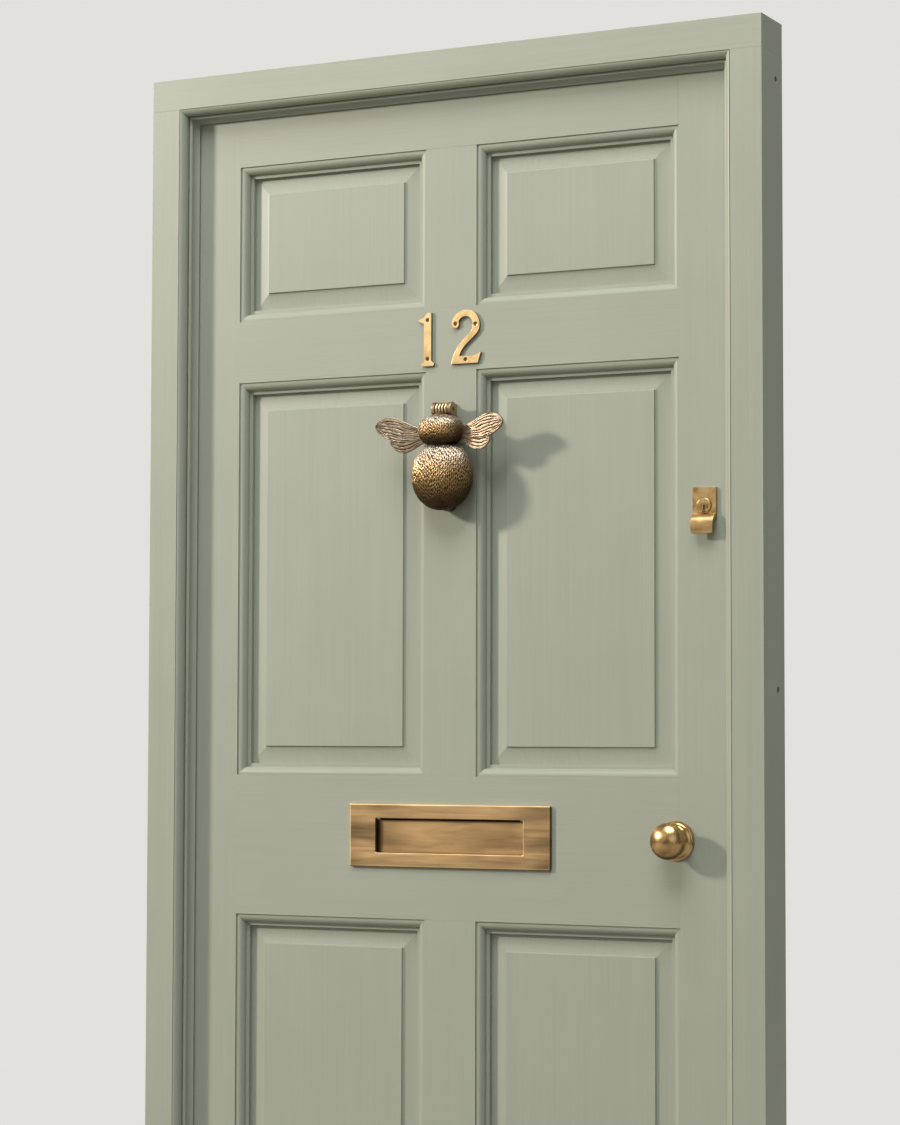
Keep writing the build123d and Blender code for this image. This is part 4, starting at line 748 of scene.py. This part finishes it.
def plateLoops():
    # loops from the back edge over the face to the aperture, and how bright each one's painted highlight of
    # wear is
    width, height = plateLook["half"]
    innerWidth, innerHeight = plateLook["aperture"]
    proud, edge, inner = plateLook["proud"], plateLook["round"], plateLook["innerRound"]
    corner, innerCorner, worn = plateLook["corner"], plateLook["innerCorner"], plateLook["wornHighlight"]
    flat, innerFlat = plateLook["flat"]
    loops, wornHighlight = [roundedLoop(width, height, corner, 0)], [worn["side"]]
    for turn in np.linspace(0, math.pi / 2, 6):
        inset, depth = edge * (1 - math.cos(turn)), edge - proud - edge * math.sin(turn)
        loops.append(roundedLoop(width - inset, height - inset, corner - 0.9 * inset, depth))
        wornHighlight.append(worn["edge"])
    loops.append(roundedLoop(width - flat, height - flat, corner, -proud))
    loops.append(roundedLoop(innerWidth + innerFlat, innerHeight + innerFlat, innerCorner + innerFlat, -proud))
    wornHighlight += [0.0, 0.0]
    for turn in np.linspace(math.pi / 2, 0, 5):
        out, depth = inner * (1 - math.cos(turn)), inner - proud - inner * math.sin(turn)
        loops.append(roundedLoop(innerWidth + out, innerHeight + out, innerCorner + out, depth))
        wornHighlight.append(worn["inner"])
    loops.append(roundedLoop(innerWidth, innerHeight, innerCorner, 0))
    return loops, wornHighlight + [0.0]


loops, wornHighlight = plateLoops()
corners = [corner for loop in loops for corner in loop]
faces = wrap(len(loops), len(loops[0]), closed=True)
wornHighlight = [share for share in wornHighlight for corner in loops[0]]
rodDepth, rodHeight = plateLook["rod"]
radius = plateLook["earRadius"]
for side in (-1, 1):
    outline = [(0, rodHeight - radius)] + [
        (rodDepth + radius * math.sin(turn), rodHeight - radius * math.cos(turn))
        for turn in np.linspace(0, math.pi, 17)
    ] + [(0, rodHeight + radius)]
    addPrism(corners, faces, outline, [side * x for x in plateLook["ear"]])
for side in (-1, 1):
    addBox(corners, faces, *((side * x, y, z) for x, y, z in plateLook["stop"]))
piece = newPiece("letter_plate_rounded", meshFrom("letter_plate", corners, faces, wornHighlight), [letterPlateBrass])
piece.data.shade_smooth()
piece.data.set_sharp_from_angle(angle=math.radians(50))
flatNormals(piece, True)
settle(piece, "letter_plate")
print("letter plate rounded")


# Knocker bracket: a fork of two rounded cheeks on a neck and a foot, and the pin through them

forkLook = {
    "pin": (-22.0, 1584.0), "inner": 9.7, "outer": 14.9, "round": 9.5, "back": -11.2, "low": 1574.5,
    "neck": ((-8.8, -11.4, 1574), (8.8, 0, 1589)), "web": ((-14.6, -12.2, 1576), (14.6, -11.0, 1588.5)),
    "foot": ((-9.2, -4, 1560), (9.2, 0, 1592.5)), "arris": 0.7,
    "pinProfile": ((0.01, -15.1), (2.3, -15.1), (2.7, -14.8), (2.7, 14.8), (2.3, 15.1), (0.01, 15.1)),
}


def cheekOutline():
    depth, height = forkLook["pin"]
    size, reach = forkLook["round"], forkLook["back"] - depth
    outline = [(forkLook["back"], forkLook["low"])]
    outline += [(depth - size * math.sin(turn), height - size * math.cos(turn))
                for turn in np.linspace(0, math.pi, 33)]
    outline += [(depth + reach * math.sin(turn), height + size * math.cos(turn))
                for turn in np.linspace(0, math.pi / 2, 17)[1:]]
    return outline


corners, faces = [], []
for side in (-1, 1):
    addPrism(corners, faces, cheekOutline(), (side * forkLook["inner"], side * forkLook["outer"]))
for part in ("neck", "web", "foot"):
    addBox(corners, faces, *forkLook[part])
mesh = meshFrom("knocker_bracket", corners, faces)
eased("knocker_bracket", "fork", mesh, [bracketBrass], forkLook["arris"], segments=3, angle=40)
mesh = meshFrom("knocker_pin", *turned(forkLook["pinProfile"], (0, *forkLook["pin"]), (1, 0, 0), (0, 0, 1), 40))
eased("knocker_pin", "turned", mesh, [darkScrewBrass], 0, angle=30)
print("knocker fork made")


# The bee: two furred bodies, a ribbed knuckle and two pairs of veined wings, cast in one

bee = {
    # centre, half sizes, how square the form is, fur stroke across and along, depth of the cut
    "thorax": ((0, -29, 1554), (31.5, 22, 22), 2.5, (2.7, 4.8), 0.5),
    "abdomen": ((0, -25, 1493), (44.5, 27, 47.5), 2.1, (3.0, 6.0), 0.6),
    "back": -12.0,
    "wall": 5.0,
    "wingRoot": (18.9, 1554),
    "sweep": 9.6,
    # rings and spokes of the abdomen, a coarser count of them, inside it, and the thorax's share of them
    "grid": (142, 288), "quickGrid": (60, 160), "innerGrid": (40, 96), "thoraxShare": (0.7, 0.9),
    "crowding": (0.72, 0.28),     # the spokes crowd to the front, where the fur is
}


def held(value, low=0):
    return min(max(value, low), 1)


def reliefShape():
    shape = bmesh.new()
    return shape, shape.verts.layers.float.new("relief")


def furDepth(point, centre, stroke):
    # how deep the pit at this point is, from 0 on a ridge to 1: staggered strokes down the body
    across, along = stroke
    turn = math.atan2(point.x - centre[0], centre[1] - point.y)
    girth = math.hypot(point.x - centre[0], point.y - centre[1])
    column = turn * (16 + 0.6 * girth) / across
    row = point.z / along
    column += 0.9 * noise.noise(Vector((column * 0.2, row * 0.5, centre[2])))
    own = math.floor(column)
    row += own * 0.47 + 0.5 * noise.noise(Vector((own * 7.31, row * 0.6, 1.0)))
    step = math.floor(row)
    wide = 0.4 + 0.14 * noise.noise(Vector((own * 3.3, step * 5.7, 4.0)))
    lean = 0.25 * noise.noise(Vector((own * 1.7, step * 2.9, 8.0)))
    off = (column - own - 0.5 + lean * (row - step - 0.5)) / wide
    reach = (row - step - 0.5) / 0.5
    pit = held((1.1 - off * off - reach * reach) / 0.75)
    return pit * pit * (3 - 2 * pit)


def furredBody(name, rings, spokes, inset=0.0):
    # rounded body open at the back, its poles up and down, its front cut with short strokes of fur
    centre, half, power, stroke, depth = bee[name]
    half = tuple(size - inset for size in half)
    shape, layer = reliefShape()
    grid = []
    for ring in range(rings + 1):
        latitude = math.pi * ring / rings
        row = []
        count = 1 if ring in (0, rings) else spokes
        for spoke in range(count):
            share = 2 * spoke / spokes - 1
            turn = math.pi * share * (bee["crowding"][0] + bee["crowding"][1] * share * share)
            unit = Vector((
                math.sin(latitude) * math.sin(turn), -math.sin(latitude) * math.cos(turn), math.cos(latitude)
            ))
            swell = sum(abs(value) ** power for value in unit) ** (-1 / power)
            spot = Vector(centre) + Vector(unit[i] * half[i] * swell for i in range(3))
            normal = Vector(unit[i] / half[i] for i in range(3)).normalized()
            relief = 1.0
            if not inset and spot.y < bee["back"] + 1:
                pit = furDepth(spot, centre, stroke)
                # the pits take a low relief value and so are painted dark: patina and painted shade
                relief = 1 - pit
                spot -= normal * depth * pit
            vert = shape.verts.new(spot * mm)
            vert[layer] = relief
            row.append(vert)
        grid.append(row)
    for above, below in zip(grid, grid[1:]):
        for spoke in range(spokes):
            following = (spoke + 1) % spokes
            corners = [above[spoke % len(above)], below[spoke % len(below)],
                       below[following % len(below)], above[following % len(above)]]
            unique = list(dict.fromkeys(corners))
            if len(unique) > 2:
                shape.faces.new(unique)
    bmesh.ops.bisect_plane(
        shape, geom=shape.verts[:] + shape.edges[:] + shape.faces[:], plane_co=place(0, bee["back"], 0),
        plane_no=(0, 1, 0), clear_outer=True,
    )
    return shape


def addShape(target, part, slot=0):
    for face in part.faces:
        face.material_index = slot
    mesh = bpy.data.meshes.new("part")
    part.to_mesh(mesh)
    part.free()
    target.from_mesh(mesh)
    bpy.data.meshes.remove(mesh)


# unless told otherwise a block takes a low relief value, so it is painted dark as shade
def boxShape(low, high, width, relief=0.3):
    shape, layer = reliefShape()
    bmesh.ops.create_cube(shape, size=1.0)
    for vert in shape.verts:
        vert.co = Vector(
            (low[i] + high[i]) / 2 + vert.co[i] * (high[i] - low[i]) for i in range(3)
        ) * mm
        vert[layer] = relief
    bmesh.ops.bevel(shape, geom=shape.edges[:], offset=width * mm, segments=3, affect="EDGES", profile=0.5)
    return shape


def naturalCurve(points, count):
    # smooth curve through the points, with free ends
    points = np.array(points, float)
    gaps = np.linalg.norm(np.diff(points, axis=0), axis=1)
    knots = np.concatenate(([0], np.cumsum(gaps)))
    size = len(points)
    matrix, right = np.zeros((size, size)), np.zeros((size, 2))
    matrix[0, 0] = matrix[-1, -1] = 1
    for i in range(1, size - 1):
        matrix[i, i - 1:i + 2] = gaps[i - 1], 2 * (gaps[i - 1] + gaps[i]), gaps[i]
        right[i] = 6 * ((points[i + 1] - points[i]) / gaps[i] - (points[i] - points[i - 1]) / gaps[i - 1])
    bend = np.linalg.solve(matrix, right)
    curve = []
    for along in np.linspace(0, knots[-1], count):
        i = min(int(np.searchsorted(knots, along, side="right")) - 1, size - 2)
        a, b, gap = knots[i + 1] - along, along - knots[i], gaps[i]
        curve.append(
            bend[i] * a ** 3 / (6 * gap) + bend[i + 1] * b ** 3 / (6 * gap)
            + (points[i] / gap - bend[i] * gap / 6) * a + (points[i + 1] / gap - bend[i + 1] * gap / 6) * b
        )
    return np.array(curve)


wings = {
    "fore": {
        "outline": [(22, 0), (57.1, 14.5), (84.7, 20.2), (98.5, 9.5), (78.8, -9.8), (22, -6.05)],
        "thickness": 3.4, "grooves": 8.2, "grooveDepth": 0.9, "seed": 3.0,
    },
    "hind": {
        "outline": [(22, -4.0), (73.9, -6.05), (77, -15), (70, -24.5), (56.2, -28.8), (42.4, -23.6),
                    (22, -12.1)],
        "thickness": 2.4, "grooves": 7.2, "grooveDepth": 0.9, "seed": 11.0,
    },
}


def grooveDepth(look, share, v, width):
    # wavering grooves that run out from the root, fork here and there and break off
    seed = look["seed"]
    lane = v * look["grooves"] + 0.75 * noise.noise(Vector((share * 2.6, v * 2.4, seed)))
    lane += 0.1 * math.sin(share * 21 + 5 * v + seed)
    own = math.floor(lane)
    off = abs(lane - own - 0.5)
    half = 0.2 + 0.08 * noise.noise(Vector((share * 9, own * 3.7, seed)))
    running = noise.noise(Vector((share * 6.5 + own * 5.3, own * 1.9, seed + 4)))
    half *= held((running + 0.42) / 0.2)
    depth = held((half - off) / 0.13)
    fork = noise.noise(Vector((share * 15, v * look["grooves"] * 1.1, seed + 9)))
    fork = held((0.055 - abs(fork)) / 0.05) * held((share - 0.55) / 0.2)
    depth = max(depth, 0.8 * fork)
    return depth * held((width - 1.3) / 0.7) * held((share - 0.02) / 0.1, 0.35)


def wingShape(look, side, steps=118, lanes=56):
    # top surface lofted from the upper edge to the lower edge of the outline
    curve = naturalCurve(look["outline"], 400)
    tip = int(np.argmax(curve[:, 0]))
    upper, lower = curve[: tip + 1], curve[tip:][::-1]
    sweep = math.radians(bee["sweep"])
    reach, rootZ = bee["wingRoot"]
    shape, layer = reliefShape()

    def along(line, share):
        gaps = np.concatenate(([0], np.cumsum(np.linalg.norm(np.diff(line, axis=0), axis=1))))
        return np.array([np.interp(share * gaps[-1], gaps, line[:, axis]) for axis in (0, 1)])

    def vertex(u, w, rise, relief):
        x = u * math.cos(sweep) - rise * math.sin(sweep)
        y = -reach - u * math.sin(sweep) - rise * math.cos(sweep)
        vert = shape.verts.new(place(side * x, y, rootZ + w))
        vert[layer] = relief
        return vert

    top, bottom = [], []
    for step in range(steps + 1):
        share = 1 - (1 - step / steps) ** 1.15
        high, low = along(upper, share), along(lower, share)
        width = max(float(np.linalg.norm(high - low)), 0.01)
        row = []
        for lane in range(lanes + 1):
            v = lane / lanes
            u, w = low + (high - low) * v
            rim = min(min(v, 1 - v) * width, max((1 - share) * 60, 0))
            groove = grooveDepth(look, share, v, rim)
            rounding = max(0, 1 - rim / 1.2)
            rise = look["thickness"] - look["grooveDepth"] * groove - rounding ** 2
            # grooves take a low relief value and are painted dark: patina and painted shade
            row.append(vertex(u, w, rise, 1 - groove * 0.95))
        top.append(row)
        # the underside's edges take a middling relief value, painting the underside darker as shade
        bottom.append((vertex(*low, 0, 0.6), vertex(*high, 0, 0.6)))
    for step in range(steps):
        for lane in range(lanes):
            near, far = top[step], top[step + 1]
            shape.faces.new((near[lane], far[lane], far[lane + 1], near[lane + 1]))
        shape.faces.new((bottom[step][0], bottom[step][1], bottom[step + 1][1], bottom[step + 1][0]))
        for lane, edge in ((0, 0), (lanes, 1)):
            shape.faces.new((top[step][lane], top[step + 1][lane], bottom[step + 1][edge], bottom[step][edge]))
    shape.faces.new((*top[0], bottom[0][1], bottom[0][0]))
    shape.faces.new((*top[steps], bottom[steps][1], bottom[steps][0]))
    bmesh.ops.remove_doubles(shape, verts=shape.verts, dist=weld)
    bmesh.ops.recalc_face_normals(shape, faces=shape.faces)
    return shape


knuckle = {
    "half": 9.3, "ribs": 4, "valley": 8.1, "rise": 1.4, "bore": 3.05, "pin": (-22, 1584),
    "boss": ((-9.3, -29, 1565), (9.3, -17, 1584), 0.6),      # the block between it and the thorax
}


def knuckleShape(ribSteps=10, spokes=72):
    half, valley, bore = knuckle["half"], knuckle["valley"], knuckle["bore"]
    depth, height = knuckle["pin"]
    pitch = 2 * half / knuckle["ribs"]
    profile = []
    for rib in range(knuckle["ribs"]):
        for step in range(ribSteps):
            share = step / ribSteps
            swell = knuckle["rise"] * math.sin(math.pi * share) ** 0.8
            profile.append((-half + (rib + share) * pitch, valley + swell))
    profile += [(half, valley), (half, bore), (-half, bore), (-half, valley)]
    shape, layer = reliefShape()
    corners = []
    for x, radius in profile:
        for step in range(spokes):
            turn = 2 * math.pi * step / spokes
            vert = shape.verts.new(place(x, depth + radius * math.cos(turn), height + radius * math.sin(turn)))
            # the valleys between the ribs and the bore take low relief values and are painted dark: patina and
            # painted shade
            vert[layer] = held((radius - valley) / 1.2, 0.15)
            corners.append(vert)
    for face in wrap(len(profile), spokes):
        shape.faces.new([corners[i] for i in face])
    bmesh.ops.remove_doubles(shape, verts=shape.verts, dist=weld)
    return shape


rings, spokes = bee["grid"]
casting = reliefShape()[0]
shell = furredBody("abdomen", rings, spokes)
inner = furredBody("abdomen", *bee["innerGrid"], bee["wall"])
bmesh.ops.reverse_faces(inner, faces=inner.faces)
addShape(shell, inner)
bmesh.ops.bridge_loops(shell, edges=[edge for edge in shell.edges if edge.is_boundary])
addShape(casting, shell)
ringShare, spokeShare = bee["thoraxShare"]
thorax = furredBody("thorax", int(rings * ringShare), int(spokes * spokeShare))
bmesh.ops.holes_fill(thorax, edges=[edge for edge in thorax.edges if edge.is_boundary])
addShape(casting, thorax)
addShape(casting, boxShape(*knuckle["boss"]))
addShape(casting, knuckleShape(), 2)
for side in (-1, 1):
    for look in wings.values():
        addShape(casting, wingShape(look, side), 1)
mesh = bpy.data.meshes.new("knocker_bee_cast")
casting.to_mesh(mesh)
casting.free()
eased("knocker_bee", "cast", mesh, [beeBronze, wingBronze, knuckleBrass], 0, angle=42)
print("bee cast:", sum(len(face.vertices) - 2 for face in mesh.polygons), "triangles")


# Studio: pale floor, soft lamps and the photograph's point of view

studio = {
    "floor": (tone(209, 208, 204), tone(215, 214, 210)),
    "floorRadius": 9.0,
    "fade": (1.6, 4.6),           # metres over which the floor turns into the wall
    "wall": tone(226, 225, 221),
    "bounce": tone(112, 108, 100),
    "roomShare": 0.36,            # how much of the room's brightness falls on the door
    # what metal mirrors: the room from the floor up, and how much of it from the left to the right
    "upward": (
        (0.0, tone(84, 79, 70)), (0.42, tone(120, 115, 106)), (0.52, tone(226, 225, 221)),
        (0.68, tone(226, 226, 224)), (0.9, tone(176, 182, 190)),
    ),
    "sideways": (
        (0.0, (1.0, 0.97, 0.92, 1)), (0.28, (0.86, 0.85, 0.83, 1)), (0.55, (0.5, 0.51, 0.52, 1)),
        (0.85, (0.22, 0.23, 0.24, 1)),
    ),
}
lamps = {
    "key": {"spot": (-6.0, -4.2, 4.1), "size": 0.85, "power": 510, "colour": (1.0, 0.915, 0.825)},
    "sky": {"spot": (0.3, -2.6, 5.6), "size": 3.2, "power": 230, "colour": (0.96, 0.98, 1.0), "aim": 1.1},
    "fill": {"spot": (2.6, -5.4, 2.2), "size": 3.6, "power": 30, "colour": (0.93, 0.96, 1.0)},
    "back": {"spot": (-1.5, 4.5, 2.8), "size": 3.2, "power": 160},
    "side": {"spot": (4.8, 1.2, 2.2), "size": 2.4, "power": 45},
}

floorShape = bmesh.new()
bmesh.ops.create_circle(floorShape, cap_ends=True, segments=96, radius=studio["floorRadius"])
floorMesh = bpy.data.meshes.new("studioFloor")
floorShape.to_mesh(floorMesh)
floorShape.free()
floorFinish = Finish("studioFloorPaint", studio["floor"][0], 0.7)
rays = floorFinish.nodes.new("ShaderNodeLightPath").outputs
paleFloor = floorFinish.ramp(floorFinish.noise(240, 2.0), tuple(zip((0.3, 0.7), studio["floor"])))
# little of the lamps' light comes back up from it
floorFinish.done(floorFinish.blend(rays["Is Diffuse Ray"], paleFloor, studio["bounce"]))
# far from the door the floor is seen in the wall's own tone, so that no line parts the two
far = floorFinish.nodes.new("ShaderNodeVectorMath")
far.operation = "LENGTH"
floorFinish.links.new(floorFinish.coords["Object"], far.inputs[0])
away = floorFinish.spread(far.outputs["Value"], *studio["fade"])
glow = floorFinish.nodes.new("ShaderNodeEmission")
glow.inputs["Color"].default_value = studio["wall"]
joined = floorFinish.nodes.new("ShaderNodeMixShader")
for source, socket in zip(
    (floorFinish.reckon("MULTIPLY", away, rays["Is Camera Ray"]), floorFinish.shader.outputs[0],
     glow.outputs[0]),
    joined.inputs,
):
    floorFinish.links.new(source, socket)
floorFinish.links.new(joined.outputs[0], floorFinish.nodes["Material Output"].inputs["Surface"])
floorPiece = newPiece("studioFloor", floorMesh, [floorFinish.material])

# the room: the camera sees an even wall, and metal sees it brighter on the lamps' side
world = bpy.data.worlds.new("studioRoom")
bpy.context.scene.world = world
world.use_nodes = True
room = NodeSketch(world.node_tree)
way = room.nodes.new("ShaderNodeTexCoord").outputs["Generated"]
upward = room.ramp(room.spread(room.axis(way, "Z"), -1, 1), studio["upward"])
sideways = room.ramp(room.spread(room.axis(way, "X"), -1, 1), studio["sideways"])
rays = room.nodes.new("ShaderNodeLightPath").outputs
mirrored = room.reckon("MAXIMUM", rays["Is Glossy Ray"], rays["Is Transmission Ray"])
seenRoom = room.blend(1.0, upward, sideways, "MULTIPLY")
plainRoom = room.blend(rays["Is Camera Ray"], upward, studio["wall"])
whole = room.reckon("MAXIMUM", mirrored, rays["Is Camera Ray"])
background = room.nodes["Background"]
room.links.new(room.blend(mirrored, plainRoom, seenRoom), background.inputs["Color"])
room.links.new(room.spread(whole, 0, 1, studio["roomShare"], 1.0), background.inputs["Strength"])

for name, look in lamps.items():
    data = bpy.data.lights.new(name + "Lamp", "AREA")
    data.shape = "DISK"
    data.size = look["size"]
    data.energy = look["power"]
    data.color = look.get("colour", (1, 1, 1))
    lamp = bpy.data.objects.new(name + "Lamp", data)
    lamp.location = look["spot"]
    aim = Vector((0, 0, look.get("aim", 1.3))) - lamp.location
    lamp.rotation_euler = aim.to_track_quat("-Z", "Y").to_euler()
    bpy.context.scene.collection.objects.link(lamp)

cameraLook = {
    "spot": (1.8305, -3.5939, 1.1375), "azimuth": 27.0, "elevation": 3.382, "roll": 0.132,
    "lens": 118.504, "sensor": 36.0,
}
cameraData = bpy.data.cameras.new("doorCamera")
cameraData.sensor_fit = "HORIZONTAL"
cameraData.sensor_width = cameraLook["sensor"]
cameraData.lens = cameraLook["lens"]
camera = bpy.data.objects.new("doorCamera", cameraData)
bpy.context.scene.collection.objects.link(camera)
azimuth, elevation, roll = (math.radians(cameraLook[name]) for name in ("azimuth", "elevation", "roll"))
forward = Vector((
    -math.sin(azimuth) * math.cos(elevation), math.cos(azimuth) * math.cos(elevation), math.sin(elevation)
))
turn = forward.to_track_quat("-Z", "Y").to_matrix() @ Matrix.Rotation(roll, 3, "Z")
camera.location = cameraLook["spot"]
camera.rotation_euler = turn.to_euler()
bpy.context.scene.camera = camera
bpy.context.scene.view_settings.view_transform = "Standard"
print("studio lit")
